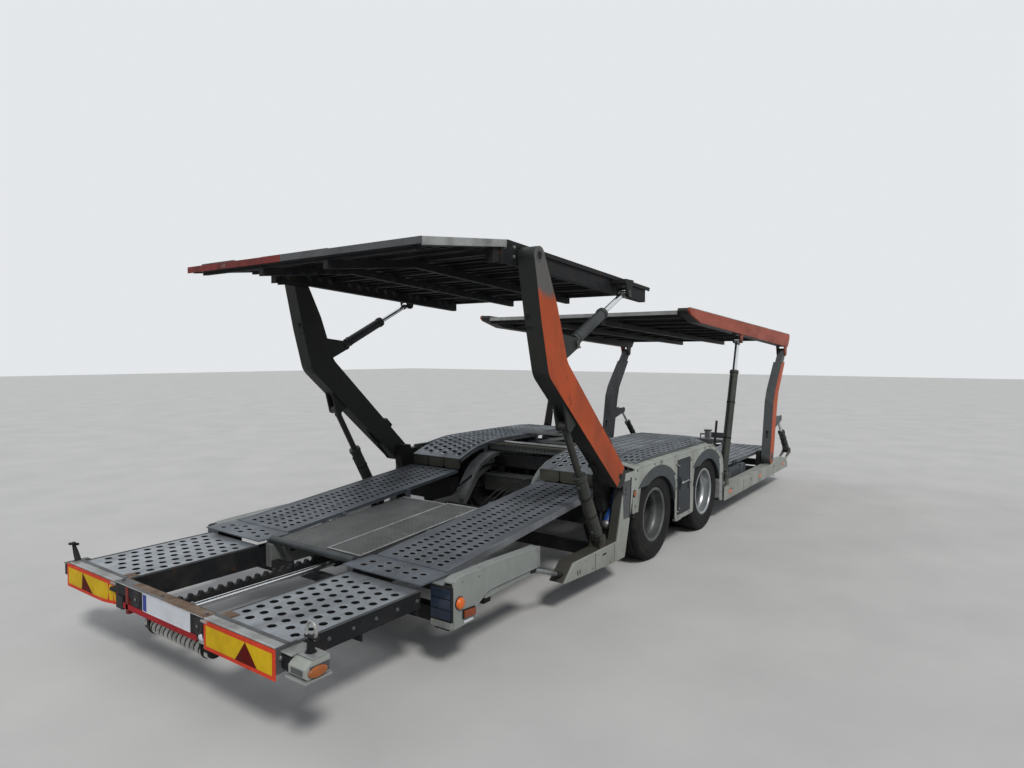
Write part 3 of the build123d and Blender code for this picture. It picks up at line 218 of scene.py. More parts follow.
# Steel and paint of the frame and the decks
surface("frame_grey", (0.165, 0.175, 0.17), (0.5, 0.7), dirt_amount=0.7, low_dirt=0.45, **RUSTY)
surface("zinc_steel", (0.30, 0.31, 0.32), (0.35, 0.55), 0.8, dirt=DUST, grain=120)
surface("black_steel", (0.012, 0.013, 0.015), (0.5, 0.75), dirt=DUST, dirt_amount=0.2, worn=RUST,
        worn_amount=0.3, specular=0.14)
surface("bag_rubber", (0.014, 0.014, 0.014), (0.6, 0.8), dirt=DUST, dirt_amount=0.3)
surface("deck_metal", (0.19, 0.205, 0.225), (0.38, 0.62), 0.5, 0.3, dirt=(0.045, 0.042, 0.04),
        dirt_amount=0.75, worn=(0.13, 0.075, 0.045), worn_amount=0.45, **PLATE)
surface("ramp_metal", (0.125, 0.142, 0.165), (0.45, 0.68), 0.4, 0.25, dirt=(0.045, 0.042, 0.04),
        dirt_amount=0.6, worn=(0.11, 0.07, 0.045), worn_amount=0.3, **PLATE)
# Lighter than the deck metal: a painted sheen on the extension runways
surface("runway_sheen_metal", (0.275, 0.30, 0.325), (0.30, 0.52), 0.6, 0.28, dirt=(0.06, 0.055, 0.05),
        dirt_amount=0.7, worn=(0.13, 0.075, 0.045), worn_amount=0.4, **PLATE)
# Near-black walls for the holes in the lower decks: painted shade inside the holes
surface("hole_painted_shade", (0.008, 0.008, 0.009), (0.7, 0.9), dirt_amount=0.2, specular=0.1)
surface("flap_brown", (0.075, 0.074, 0.060), (0.5, 0.7), 0.1, 0.25, dirt=(0.03, 0.027, 0.022),
        worn=RUST, worn_amount=0.4)
surface("greased_steel", (0.05, 0.052, 0.046), (0.28, 0.5), 0.3, 0.25, dirt=(0.02, 0.018, 0.016),
        dirt_amount=0.6)
# Lighter copies of the deck and ramp metal for the holes' lips, the ridges and the ramps' outer
# edge: a painted sheen
surface("deck_lip_sheen", (0.30, 0.335, 0.37), (0.32, 0.55), 0.6, 0.25, dirt=(0.07, 0.06, 0.05),
        dirt_amount=0.6)
surface("ramp_lip_sheen", (0.20, 0.21, 0.23), (0.4, 0.6), 0.4, 0.25, dirt=(0.06, 0.05, 0.045),
        dirt_amount=0.6)
surface("deck_dark", (0.016, 0.017, 0.018), (0.6, 0.85), 0.1, dirt=(0.05, 0.045, 0.04),
        dirt_amount=0.35, worn=(0.06, 0.03, 0.018), worn_amount=0.4, specular=0.12)
# tread_plate's bars get a painted highlight
surface("tread_plate", (0.088, 0.092, 0.092), (0.45, 0.65), 0.3, 0.22, dirt=(0.05, 0.045, 0.038),
        dirt_amount=0.6, tread=0.042)
surface("pale_paint", PALE, **RAIL)
surface("guard_paint", (0.27, 0.295, 0.285), (0.45, 0.65), shade=0.16, dirt=(0.07, 0.066, 0.055),
        dirt_amount=0.7, low_dirt=0.5, streak=UPRIGHT, **RUSTY)
# The rear rails are near black but for their outer faces: painted shade on their inner and top
# faces
surface("rear_rail_shaded_paint", (0.035, 0.037, 0.036), outside=(1.230, PALE),
        dark_ears=(-1.94, 0.349, (0.022, 0.022, 0.020)), **RAIL)
surface("front_rail_paint", PALE, dark_ears=(4.0, 0.356, (0.05, 0.052, 0.048)), **RAIL)
surface("pale_metal", (0.34, 0.35, 0.35), (0.35, 0.55), 0.4, dirt=(0.06, 0.05, 0.04),
        dirt_amount=0.65, worn=RUST, worn_amount=0.6)
surface("arch_plastic", (0.055, 0.065, 0.072), (0.5, 0.7), dirt=DUST, dirt_amount=0.35,
        low_dirt=0.2, specular=0.18)
surface("door_grey", (0.024, 0.031, 0.039), (0.4, 0.6), dirt=DUST, dirt_amount=0.25,
        low_dirt=0.15, specular=0.18)
surface("chrome_rod", (0.74, 0.75, 0.76), (0.08, 0.22), 1.0, 0.05, dirt_amount=0.15)
surface("hose_plastic", (0.014, 0.014, 0.016), (0.5, 0.7), dirt=DUST, dirt_amount=0.2)
surface("hose_white", (0.56, 0.56, 0.52), (0.5, 0.7), shade=0.15, dirt_amount=0.7, dirt_scale=16)
surface("arm_paint", ARM_BLACK, (0.45, 0.65), shade=0.2, specular=0.2, dirt=(0.06, 0.055, 0.045),
        dirt_amount=0.4, worn=(0.045, 0.022, 0.016), worn_amount=0.5, worn_scale=11,
        streak=(1, 1, 0.5), outside=(1.2485, RED_ORANGE), faded=(2.17, 0.05, (0.11, 0.105, 0.10)),
        dark_foot=(1.13, 2.928, ARM_BLACK))
surface("post_paint", (0.080, 0.088, 0.093), (0.45, 0.65), shade=0.2, dirt=(0.03, 0.028, 0.024),
        dirt_amount=0.45, worn=RUST, worn_amount=0.4, streak=UPRIGHT, outside=(1.2432, RED_ORANGE))
surface("beam_paint", (0.025, 0.026, 0.027), outside=(1.2300, BEAM_ORANGE), **BEAM)
surface("orange_paint", BEAM_ORANGE, **{**BEAM, "rough": (0.45, 0.62)})
surface("cylinder_paint", (0.036, 0.041, 0.036), (0.38, 0.58), dirt=DUST, dirt_amount=0.35)
surface("grey_steel", (0.085, 0.09, 0.095), (0.4, 0.6), 0.2, dirt=(0.03, 0.028, 0.025), **RUSTY)
surface("damper_blue", (0.012, 0.06, 0.24), (0.32, 0.5), dirt_amount=0.55)
surface("flange_grey", (0.20, 0.215, 0.215), (0.45, 0.65), 0.1, 0.2, dirt=(0.04, 0.038, 0.034),
        dirt_amount=0.7, worn=RUST, worn_amount=0.4)
surface("slate_steel", (0.045, 0.052, 0.055), (0.4, 0.6), 0.2, dirt=(0.02, 0.019, 0.017),
        worn=RUST, worn_amount=0.3)
surface("rust_steel", (0.115, 0.070, 0.045), (0.65, 0.85), shade=0.35, scale=8,
        dirt=(0.24, 0.205, 0.165), dirt_amount=0.85, dirt_scale=7, grain_strength=0.5)
surface("bolt_steel", (0.26, 0.26, 0.26), (0.35, 0.55), 0.8, dirt=(0.08, 0.045, 0.03),
        dirt_amount=0.6, dirt_scale=40)

# Wheels
surface("tyre", (0.012, 0.0125, 0.0135), (0.65, 0.88), shade=0.25, dirt=(0.06, 0.053, 0.044),
        dirt_amount=0.4, dirt_scale=9, grain=180, specular=0.14)
surface("rim_paint", (0.115, 0.12, 0.122), (0.35, 0.55), 0.4, 0.2, dirt_amount=0.7)
# A lighter, shinier copy of the rim paint for the front rims' well: a painted highlight
surface("rim_painted_highlight", (0.40, 0.42, 0.43), (0.24, 0.42), 0.8, 0.15, dirt=(0.05, 0.042, 0.035))

# Marker boards, number panel, tape and lenses
surface("board_yellow", (0.66, 0.43, 0.004), (0.4, 0.6), shade=0.1, dirt=(0.24, 0.13, 0.005),
        dirt_amount=0.45, specular=0.12)
surface("board_red", (0.64, 0.050, 0.018), (0.4, 0.6), shade=0.1, dirt=(0.2, 0.02, 0.012),
        dirt_amount=0.4, specular=0.12)
surface("board_dark_red", (0.105, 0.004, 0.003), (0.4, 0.6), shade=0.2, specular=0.05)
surface("panel_white", (0.60, 0.63, 0.68), (0.35, 0.5), shade=0.05, dirt=(0.25, 0.25, 0.25),
        dirt_amount=0.4)
surface("panel_blue", (0.015, 0.035, 0.25), (0.35, 0.5), shade=0.08)
surface("strip_red", (0.30, 0.007, 0.012), (0.4, 0.6), shade=0.15, specular=0.12)
surface("tape_red", (0.16, 0.018, 0.014), (0.5, 0.7), shade=0.4, scale=6, dirt=(0.03, 0.02, 0.018),
        dirt_amount=0.8, dirt_scale=9, worn=(0.30, 0.28, 0.26), worn_amount=0.7, worn_scale=7)
surface("lens_red", (0.30, 0.008, 0.006), (0.15, 0.3), shade=0.12, coat=0.6)
# Dark navy for the rear light lenses: painted shade over their lens colour
surface("lens_shaded_navy", (0.022, 0.032, 0.055), (0.12, 0.3), shade=0.35, scale=14, coat=0.4)
surface("lens_dull", (0.34, 0.10, 0.022), dirt_amount=0.45, **LENS)
surface("lens_brown", (0.22, 0.045, 0.012), dirt_amount=0.4, **LENS)
surface("amber_lens", (0.62, 0.12, 0.010), (0.15, 0.3), shade=0.12, dirt_amount=0.3, coat=0.5)

RECORD_SLOT = {row["node"]: row["material_slot"] for row in frame["record"]["subparts"]}
NODE_PAINT = {
    "front_posts": "post_paint", "front_platform_beams": "beam_paint", "lift_rods": "greased_steel",
    "tilt_barrels": "slate_steel", "rear_rails": "rear_rail_shaded_paint",
    "front_rails": "front_rail_paint", "cross_pipe": "slate_steel",
    # The extension rack is made near black: painted shade, as it lies in shadow
    "extension_rack": "black_steel", "side_tanks": "door_grey",
}
for name, obj in nodes.items():
    obj.data.materials.clear()
    obj.data.materials.append(MATS[NODE_PAINT.get(name, RECORD_SLOT[name])])

# A small round on the CAD edges, which catches the light: its width by node, in millimetres
EDGE_ANGLE = math.radians(35)
SOFTENED = {
    6: ("rear_arms", "main_frame"),
    5: ("front_posts", "drawbar"),
    4: ("front_platform_beams", "rear_rails", "front_rails", "side_guards", "side_tanks",
        "suspension_arms"),
    3: ("rear_platform_beams", "outriggers", "cross_members", "support_leg", "extension_frame",
        "locker_door_left", "locker_door_right", "pivot_brackets"),
    2: ("centre_covers", "extension_rack"),
}


def add_bevel(obj, width):
    bevel = obj.modifiers.new("bevel", "BEVEL")
    bevel.width = width
    bevel.segments = 2
    bevel.limit_method = "ANGLE"
    bevel.angle_limit = EDGE_ANGLE
    return bevel


for width, names in SOFTENED.items():
    for name in names:
        weld = nodes[name].modifiers.new("weld", "WELD")
        weld.merge_threshold = 0.00002
        add_bevel(nodes[name], width / 1000).harden_normals = True


# Lines and points
def spot(s, y, z):
    """A point from station, left and height in millimetres."""
    return Vector((s / 1000 - HALF, y / 1000, z / 1000))


def metres(points):
    """Points (station, height) in millimetres as (x, z) in metres."""
    return [(s / 1000 - HALF, z / 1000) for s, z in points]


def eased(points, steps=4, share=0.35):
    """A 3-D line with its corners rounded off."""
    pts = [Vector(p) for p in points]
    out = [pts[0]]
    for a, b, c in zip(pts, pts[1:], pts[2:]):
        p, q = b + (a - b) * share, b + (c - b) * share
        for k in range(steps + 1):
            t = k / steps
            out.append(p * (1 - t) ** 2 + b * 2 * t * (1 - t) + q * t * t)
    out.append(pts[-1])
    return out


def smooth_line(points, share=0.25):
    """A line of (x, z) points with its bends eased."""
    return [(v.x, v.y) for v in eased([(x, z, 0) for x, z in points], 5, share)]


def bends(line):
    """The distances along a line of its start, its corners and its end."""
    marks = [0.0]
    for a, b in zip(line, line[1:]):
        marks.append(marks[-1] + math.hypot(b[0] - a[0], b[1] - a[1]))
    return marks


def path_length(line):
    return bends(line)[-1]


def path_at(line, u):
    """The point (x, z) and unit direction at a distance along a line."""
    for (x0, z0), (x1, z1) in zip(line, line[1:]):
        d = math.hypot(x1 - x0, z1 - z0)
        if u <= d or (x1, z1) == line[-1]:
            share = u / d
            return (x0 + (x1 - x0) * share, z0 + (z1 - z0) * share), ((x1 - x0) / d, (z1 - z0) / d)
        u -= d


def on_circle(count, share=0.0):
    """The cosine and sine of evenly spread angles, turned by a share of a step."""
    angles = [math.tau * (k + share) / count for k in range(count)]
    return [(math.cos(a), math.sin(a)) for a in angles]


# Meshes
def piece(name, verts, faces, body, mats, index, smooth):
    """A mesh piece from lists, riding on a body."""
    mesh = bpy.data.meshes.new(name)
    mesh.from_pydata(verts, [], faces)
    obj = bpy.data.objects.new(name, mesh)
    bpy.context.scene.collection.objects.link(obj)
    for mat in mats:
        mesh.materials.append(MATS[mat])
    mesh.polygons.foreach_set("material_index", index)
    mesh.polygons.foreach_set("use_smooth", smooth)
    bm = bmesh.new()
    bm.from_mesh(mesh)
    bmesh.ops.recalc_face_normals(bm, faces=bm.faces)
    bm.to_mesh(mesh)
    bm.free()
    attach(obj, body)
    return obj


class Build:
    """Collects vertices and faces, with a material number and a smooth flag for each face.

    The side is 1 for a piece on the left and -1 for the same piece on the right. Widths are given
    as on the left. A point is a Vector in metres, used as it is, or (station, width, height) in
    millimetres, put on the piece's side.
    """

    RING, SIZE_SPREAD = 12, 0.03

    def __init__(self, side=1):
        self.side = side
        self.verts, self.faces, self.index, self.smooth = [], [], [], []

    def place(self, point):
        if isinstance(point, Vector):
            return point
        s, y, z = point
        return spot(s, self.side * y, z)

    def across(self, y0, y1):
        """A span of widths on the piece's side, the lower one first."""
        return (y0, y1) if self.side > 0 else (-y1, -y0)

    def join(self, start, faces, mat, smooth):
        """Faces whose vertices are counted from a start number."""
        self.faces += [[start + i for i in face] for face in faces]
        self.index += [mat] * len(faces)
        self.smooth += [smooth] * len(faces)

    def add(self, verts, faces, mat=0, smooth=False):
        start = len(self.verts)
        self.verts += [tuple(v) for v in verts]
        self.join(start, faces, mat, smooth)

    def loft(self, ring0, ring1, mat=0):
        """A closed form between two outlines with the same number of points."""
        n = len(ring0)
        faces = [list(range(n)), list(range(2 * n - 1, n - 1, -1))]
        faces += [[i, (i + 1) % n, n + (i + 1) % n, n + i] for i in range(n)]
        self.add(list(ring0) + list(ring1), faces, mat)

    def prism(self, outline, y0, y1, mat=0):
        """A side outline of (x, z) points, given thickness from one width to another."""
        y0, y1 = self.across(y0, y1)
        self.loft([(x, y0, z) for x, z in outline], [(x, y1, z) for x, z in outline], mat)

    def side_plate(self, outline, y0, y1, mat=0):
        """A prism whose outline is (station, height) in millimetres."""
        self.prism(metres(outline), y0, y1, mat)

    def face_plate(self, outline, s0, s1, mat=0):
        """A front outline of (width, height) points, given thickness between two stations."""
        self.loft(*([(s - HALF, self.side * y, z) for y, z in outline] for s in (s0, s1)), mat)

    def box(self, s0, s1, y0, y1, z0, z1, mat=0):
        """A box between two stations, two widths and two heights, in metres."""
        x0, x1 = s0 - HALF, s1 - HALF
        self.prism([(x0, z0), (x1, z0), (x1, z1), (x0, z1)], y0, y1, mat)

    def boxes(self, *rows):
        for row in rows:
            self.box(*row)

    def turned(self, profile, centre, count=32, mat=0, axis=None, smooth=True, close=False):
        """A profile of (distance along the axis, radius) turned about an axis, or outwards."""
        axis = Vector(axis or (0, self.side, 0)).normalized()
        side = axis.orthogonal().normalized()
        third = axis.cross(side)
        centre = self.place(centre)
        verts = [centre + axis * d + (side * c + third * s) * r
                 for d, r in profile for c, s in on_circle(count)]
        rows = len(profile)
        faces = []
        for i in range(rows if close else rows - 1):
            j = (i + 1) % rows
            for k in range(count):
                m = (k + 1) % count
                faces.append([i * count + k, i * count + m, j * count + m, j * count + k])
        self.add(verts, faces, mat, smooth)
        if not close:
            for cap in (verts[:count], verts[-count:]):
                self.add(cap, [list(range(count))], mat)

    def open_turned(self, *args):
        """A turned form without its end caps."""
        self.turned(*args)
        for rows in (self.faces, self.index, self.smooth):
            del rows[-2:]

    def bar(self, p0, p1, radius, count=12, mat=0):
        """A round bar between two points, with small chamfers at its ends."""
        a, b = self.place(p0), self.place(p1)
        d, c = (b - a).length, radius * 0.15
        profile = [(0, radius - c), (c, radius), (d - c, radius), (d, radius - c)]
        self.turned(profile, a, count, mat, b - a)

    def ring(self, centre, inner, outer, thick, count, mat, axis=None):
        """A flat ring with softened edges."""
        c = thick * 0.25
        rows = [(0, inner), (0, outer - c), (c, outer), (thick - c, outer), (thick, outer - c),
                (thick, inner)]
        self.turned(rows, centre, count, mat, axis, close=True)

    def bolts(self, points, size, mat=0, axis=None):
        """Hexagon bolt heads on washers."""
        washer = [(0, size * 1.25), (size * 0.18, size * 1.25)]
        head = [(size * 0.18, size), (size * 0.75, size), (size * 0.9, size * 0.8)]
        for point in points:
            self.turned(washer, point, 12, mat, axis, smooth=False)
            self.turned(head, point, 6, mat, axis, smooth=False)

    def tube(self, points, radius, count=8, mat=0, share=0.35):
        """A pipe along a line whose corners are rounded off."""
        line = eased([self.place(p) for p in points], 4, share)
        verts = []
        side = (line[1] - line[0]).orthogonal().normalized()
        for i, p in enumerate(line):
            ahead = (line[min(i + 1, len(line) - 1)] - line[max(i - 1, 0)]).normalized()
            side = (side - ahead * side.dot(ahead)).normalized()
            third = ahead.cross(side)
            verts += [p + (side * c + third * s) * radius for c, s in on_circle(count)]
        faces = [[i + k, i + (k + 1) % count, i + (k + 1) % count + count, i + k + count]
                 for i in range(0, len(verts) - count, count) for k in range(count)]
        self.add(verts, faces, mat, True)
        for cap in (verts[:count], verts[-count:]):
            self.add(cap, [list(range(count))], mat)

    def stretch(self, start, centre, share_x, share_z):
        """Draws the vertices from a start number out from a centre."""
        cx, _, cz = self.place(centre)
        for i in range(start, len(self.verts)):
            x, y, z = self.verts[i]
            self.verts[i] = (cx + (x - cx) * share_x, y, cz + (z - cz) * share_z)

    def strip(self, line, u0, u1, top, under, y0, y1, mat=0):
        """A bar that follows a line, between two heights above it.

        u0 below zero, and u1 at or below zero, count back from the line's end.
        """
        marks = bends(line)
        u0, u1 = u0 + marks[-1] if u0 < 0 else u0, u1 + marks[-1] if u1 <= 0 else u1
        us = [u0] + [m for m in marks if u0 < m < u1] + [u1]
        spots = [path_at(line, min(max(u, 0), marks[-1]))[0] for u in us]
        for (xa, za), (xb, zb) in zip(spots, spots[1:]):
            outline = [(xa, za + top), (xb, zb + top), (xb, zb + under), (xa, za + under)]
            self.prism(outline, y0, y1, mat)

    def flanged(self, line, y0, y1, edge, ribs):
        """Folded edges and cross ribs under a plate."""
        for ya, yb in ((y0, y0 + 0.006), (y1 - 0.006, y1)):
            self.strip(line, 0, 0, -0.001, -edge, ya, yb)
        for i in range(ribs):
            u = 0.01 + (path_length(line) - 0.03) * i / (ribs - 1)
            self.strip(line, u, u + 0.006, -0.005, -edge * 0.8, y0, y1)

    def perforate(self, line, y0, y1, thick, pitch, hole, lip, edge=(0.02, 0.02), stagger=0.25,
                  wall_mat=2, depth=0.0, square=1.0, tilt=0.0):
        """A plate that follows a line, with oval holes whose lips stand up.

        pitch, hole and edge are (along the line, across it). The holes' walls are drawn down to a
        depth in wall_mat, near black on the lower decks as painted shade inside the holes, square
        below 1 fills out their corners, and tilt is the plate's fall outwards.
        """
        y0, y1 = self.across(y0, y1)
        pitch_u, pitch_y = pitch
        marks = bends(line)
        length = marks[-1]
        runs = list(zip(marks, marks[1:]))
        near = min(abs(y0), abs(y1))
        rows = max(1, int((y1 - y0 - 2 * edge[1]) / pitch_y + SLACK))
        count = int((length - 2 * edge[0] - pitch_u * 2 * stagger) / pitch_u + SLACK)
        margin = (y1 - y0 - rows * pitch_y) / 2
        depth = max(depth, thick)
        # the rings of a hole, from its foot on the plate over the lip and down: share, height
        levels = ((0.66, 0.0003), (0.57, lip), (0.5, lip * 0.5 - 0.0008), (0.47, -depth),
                  (0.56, -depth), (0.60, -thick))

        def put(u, y, h):
            (x, z), (dx, dz) = path_at(line, min(max(u, 0), length))
            return (x - dz * h, y, z + dx * h - tilt * (abs(y) - near))

        def quad(u0, u1, ya, yb):
            if u1 - u0 > TINY and yb - ya > TINY:
                for h in (0, -thick):
                    corners = [put(u0, ya, h), put(u1, ya, h), put(u1, yb, h), put(u0, yb, h)]
                    self.add(corners, [[0, 1, 2, 3]])

        def bands(*numbers):
            n = self.RING
            return [[k * n + i, k * n + (i + 1) % n, (k + 1) * n + (i + 1) % n, (k + 1) * n + i]
                    for k in numbers for i in range(n)]

        def cell(um, ym):
            """A hole and the plate round it."""
            u0, u1, ua, ub = (um + pitch_u * share for share in (-1 / 2, 1 / 2, -1 / 6, 1 / 6))
            ya, yb, yc, yd = (ym + pitch_y * share for share in (-1 / 2, 1 / 2, -1 / 6, 1 / 6))
            outer = [(u0, ya), (ua, ya), (ub, ya), (u1, ya), (u1, yc), (u1, yd),
                     (u1, yb), (ub, yb), (ua, yb), (u0, yb), (u0, yd), (u0, yc)]
            size = 1 + random.uniform(-self.SIZE_SPREAD, self.SIZE_SPREAD)
            oval = []
            for u, y in outer:
                angle = math.atan2((y - ym) / pitch_y, (u - um) / pitch_u)
                oval.append([math.copysign(abs(way) ** square, way) * reach * size
                             for way, reach in zip((math.cos(angle), math.sin(angle)), hole)])
            verts = [put(u, y, 0) for u, y in outer]
            for share, h in levels:
                verts += [put(um + du * share, ym + dy * share, h) for du, dy in oval]
            verts += [put(u, y, -thick) for u, y in outer]
            start = len(self.verts)
            self.add(verts, bands(0, 6))
            self.join(start, bands(1, 2), 1, True)
            self.join(start, bands(3, 4, 5), wall_mat, True)

        for a, b in runs:
            quad(a, b, y0, y0 + margin)
            quad(a, b, y1 - margin, y1)
        for r in range(rows):
            ya = y0 + margin + r * pitch_y
            yb = ya + pitch_y
            shift = (length - count * pitch_u) / 2 + pitch_u * (stagger if r % 2 else -stagger)
            for a, b in runs:
                quad(a, min(b, shift), ya, yb)
                quad(max(a, shift + count * pitch_u), b, ya, yb)
            for c in range(count):
                cell(shift + (c + 0.5) * pitch_u, ya + pitch_y / 2)
        for y in (y0, y1):
            for a, b in runs:
                self.add([put(a, y, 0), put(b, y, 0), put(b, y, -thick), put(a, y, -thick)],
                         [[0, 1, 2, 3]])
        for u in (0, length):
            self.add([put(u, y0, 0), put(u, y1, 0), put(u, y1, -thick), put(u, y0, -thick)],
                     [[0, 1, 2, 3]])

    def make(self, name, body, mats, bevel=0.0, replaces=None):
        obj = piece(name, self.verts, self.faces, body, mats, self.index, self.smooth)
        if bevel:
            add_bevel(obj, bevel)
        if replaces:
            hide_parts(replaces)


# Lower decks
DECK_MATS = ["deck_metal", "deck_lip_sheen", "hole_painted_shade"]
RAMP_MATS = ["ramp_metal", "ramp_lip_sheen", "hole_painted_shade"]
RUNWAY_MATS = ["runway_sheen_metal", "runway_sheen_metal", "hole_painted_shade"]
RAMP = metres([(1150, 536), (3020, 716)])
HUMP = smooth_line(metres([(3040, 818), (3250, 895), (3550, 950), (4950, 950), (5250, 905),
                           (5480, 800)]))
WING = smooth_line(metres([(3270, 905), (3560, 949), (4930, 949), (5090, 921)]))
FRONT = smooth_line(metres([(5490, 790), (6150, 500), (8150, 500)]))


def rear_runways(name, side):
    build = Build(side)
    build.perforate(metres([(70, 490), (930, 490)]), 0.460, 1.035, 0.006, (0.080, 0.089),
                    (0.046, 0.046), 0.001, depth=0.016)
    build.make(f"runway_plate_{name}", "rear_extension", RUNWAY_MATS,
               replaces="extension_runways")

    build = Build(side)
    build.perforate(metres([(905, 532), (1150, 532)]), 0.420, 1.062, 0.008, (0.072, 0.104),
                    (0.036, 0.046), 0.001, (0.005, 0.02), depth=0.016, square=0.75)
    build.box(0.98, 1.14, 0.420, 0.440, 0.500, 0.525)
    build.make(f"step_plate_{name}", "root", RAMP_MATS, replaces="step_plates")

    build = Build(side)
    build.perforate(RAMP, 0.450, 1.035, 0.006, (0.0565, 0.0935), (0.031, 0.046), 0.0008,
                    (0.012, 0.045), 0.0, depth=0.016, square=0.7)
    build.flanged(RAMP, 0.450, 1.035, 0.025, 7)
    build.strip(RAMP, 0, 0, 0.003, -0.039, 1.029, 1.037, 1)
    for s in (1.650, 2.350):
        top = 0.536 + 0.18 * (s - 1.150) / 1.870 - 0.003
        build.box(s - 0.015, s + 0.015, 0.425, 0.456, 0.500, top)
    build.make(f"ramp_plate_{name}", "root", RAMP_MATS, replaces="rear_ramps")


def wheel_deck(name, side):
    """The raised deck over the wheels, with three flaps hanging at its rear end."""
    build = Build(side)
    y0, y1 = 0.445, 1.040
    build.perforate(HUMP, y0, y1, 0.006, (0.076, 0.090), (0.046, 0.046), 0.009, depth=0.014)
    build.flanged(HUMP, y0, y1, 0.042, 9)
    rear, gap, corner = 3.040, 0.012, 0.016
    width = (y1 - y0 - 2 * gap) / 3
    for k in range(3):
        ya = y0 + k * (width + gap)
        yb = ya + width
        build.face_plate([(ya, 0.738), (ya + corner, 0.722), (yb - corner, 0.722), (yb, 0.738),
                          (yb, 0.811), (ya, 0.811)], rear, rear + 0.005, 3)
        build.box(rear - 0.003, rear + 0.001, ya + 0.02, yb - 0.02, 0.745, 0.790, 3)
    # A near-black plate behind the flaps: painted shade in the gaps between them
    build.box(rear + 0.005, rear + 0.010, y0, y1, 0.740, 0.811, 2)
    for s in (3.440, 4.350, 5.000):
        top = min(path_at(HUMP, s - rear)[0][1], 0.945) - 0.012
        build.box(s - 0.02, s + 0.02, 0.440, 0.460, 0.760, top)
    build.make(f"wheel_deck_plate_{name}", "root", DECK_MATS + ["flap_brown"],
               replaces="wheel_decks")


def deck_wing(name, side):
    """The wheel deck's outer rows, which slope down to the fender, with ridges along them."""
    build = Build(side)
    build.perforate(WING, 1.041, 1.168, 0.005, (0.112, 0.0305), (0.078, 0.017), 0.004,
                    (0.01, 0.002), depth=0.012, tilt=0.33)
    # The ridges take the lighter lip metal: a painted sheen
    for y, fall in ((1.041, 0.0), (1.0716, 0.0101), (1.102, 0.0201), (1.1326, 0.0302),
                    (1.164, 0.0405)):
        build.strip(WING, 0.005, -0.005, 0.005 - fall, -fall, y, y + 0.005, 1)
    build.strip(WING, 0, 0, -0.040, -0.060, 1.150, 1.168)
    build.make(f"deck_wing_{name}", "root", DECK_MATS)


def front_runway(name, side):
    build = Build(side)
    build.perforate(FRONT, 0.445, 1.040, 0.006, (0.076, 0.090), (0.044, 0.046), 0.004, depth=0.014)
    build.flanged(FRONT, 0.445, 1.040, 0.034, 9)
    for s in (6.300, 7.200, 8.100):
        build.box(s - 0.02, s + 0.02, 0.440, 0.485, 0.311, 0.480)
    build.make(f"front_runway_plate_{name}", "root", DECK_MATS,
               replaces="front_runways")


for name, side in SIDES:
    for part in (rear_runways, wheel_deck, deck_wing, front_runway):
        part(name, side)

# Upper decks: perforated planks laid across, each with its flanges below
REAR_DECK = metres([(870, 2407), (1640, 2497), (3780, 2377)])
FRONT_DECK = metres([(4390, 2214.5), (8260, 2066.4)])
TAIL = REAR_DECK[:2]
PLANK = 0.1075


def planks(name, body, line, half, flange_half, replaces):
    build = Build()
    build.perforate(line, -half, half, 0.006, (PLANK, 0.110), (0.044, 0.036), 0.003, (0.0, 0.05),
                    0.0, wall_mat=1)
    length = path_length(line)
    count = int(length / PLANK + SLACK)
    start = (length - count * PLANK) / 2
    for i in range(count + 1):
        u = min(max(start + i * PLANK, 0.004), length - 0.004)
        build.strip(line, u - 0.003, u + 0.003, -0.005, -0.045, -flange_half, flange_half, 2)
        if 0 < i < count:
            build.strip(line, u - 0.016, u + 0.016, -0.042, -0.045, -flange_half, flange_half, 2)
    build.make(name, body, ["deck_dark", "deck_dark", "black_steel"],
               replaces=replaces)


def rear_deck_trim(name, side):
    """Pale edge strips on the tail, dark side strips, and a bracket with bolts at the bend."""
    build = Build(side)
    build.strip(TAIL, 0, -0.02, 0.003, -0.043, 1.104, 1.116)
    build.strip(TAIL, 0, -0.02, 0.003, 0.0, 1.072, 1.112)
    build.make(f"tail_edge_{name}", "rear_platform", ["pale_metal"], 0.002)

    build = Build(side)
    build.strip(REAR_DECK, 0.75, -0.02, 0.003, -0.030, 1.106, 1.114)
    build.strip(REAR_DECK, 0.70, 0.98, 0.0, -0.145, 1.092, 1.112)
    build.bolts([(s, 1112, z) for s, z in ((1600, 2452), (1700, 2400), (1700, 2460), (1800, 2400),
                                           (1800, 2455))], 0.011, 1)
    build.make(f"deck_side_{name}", "rear_platform", ["black_steel", "bolt_steel"],
               0.002)


def tail_tape():
    """Worn tape and grey patches on the upper rear deck's rear edge."""
    build = Build()
    build.boxes(
        (0.866, 0.874, 0.10, 1.185, 2.370, 2.414, 0),
        (0.866, 0.874, -1.108, 0.10, 2.372, 2.412, 1),
        (0.868, 0.960, 0.62, 1.00, 2.414, 2.422, 1),
        (0.868, 0.900, -0.35, 0.30, 2.411, 2.416, 1),
    )
    build.make("tail_tape", "rear_platform", ["tape_red", "grey_steel"], 0.0015)


planks("upper_deck_planks", "rear_platform", REAR_DECK, 1.110, 1.035, "rear_platform_deck")
planks("front_deck_planks", "front_platform", FRONT_DECK, 1.130, 1.128, "front_platform_deck")
for name, side in SIDES:
    rear_deck_trim(name, side)
tail_tape()


# Rear extension
def clip(outline, a, b):
    """The part of a convex outline between two widths."""
    for limit, keep in ((a, 1), (b, -1)):
        result = []
        for (y0, z0), (y1, z1) in zip(outline, outline[1:] + outline[:1]):
            in0, in1 = ((y - limit) * keep >= -TINY for y in (y0, y1))
            if in0:
                result.append((y0, z0))
            if in0 != in1:
                t = (limit - y0) / (y1 - y0)
                result.append((limit, z0 + (z1 - z0) * t))
        outline = result
    return outline


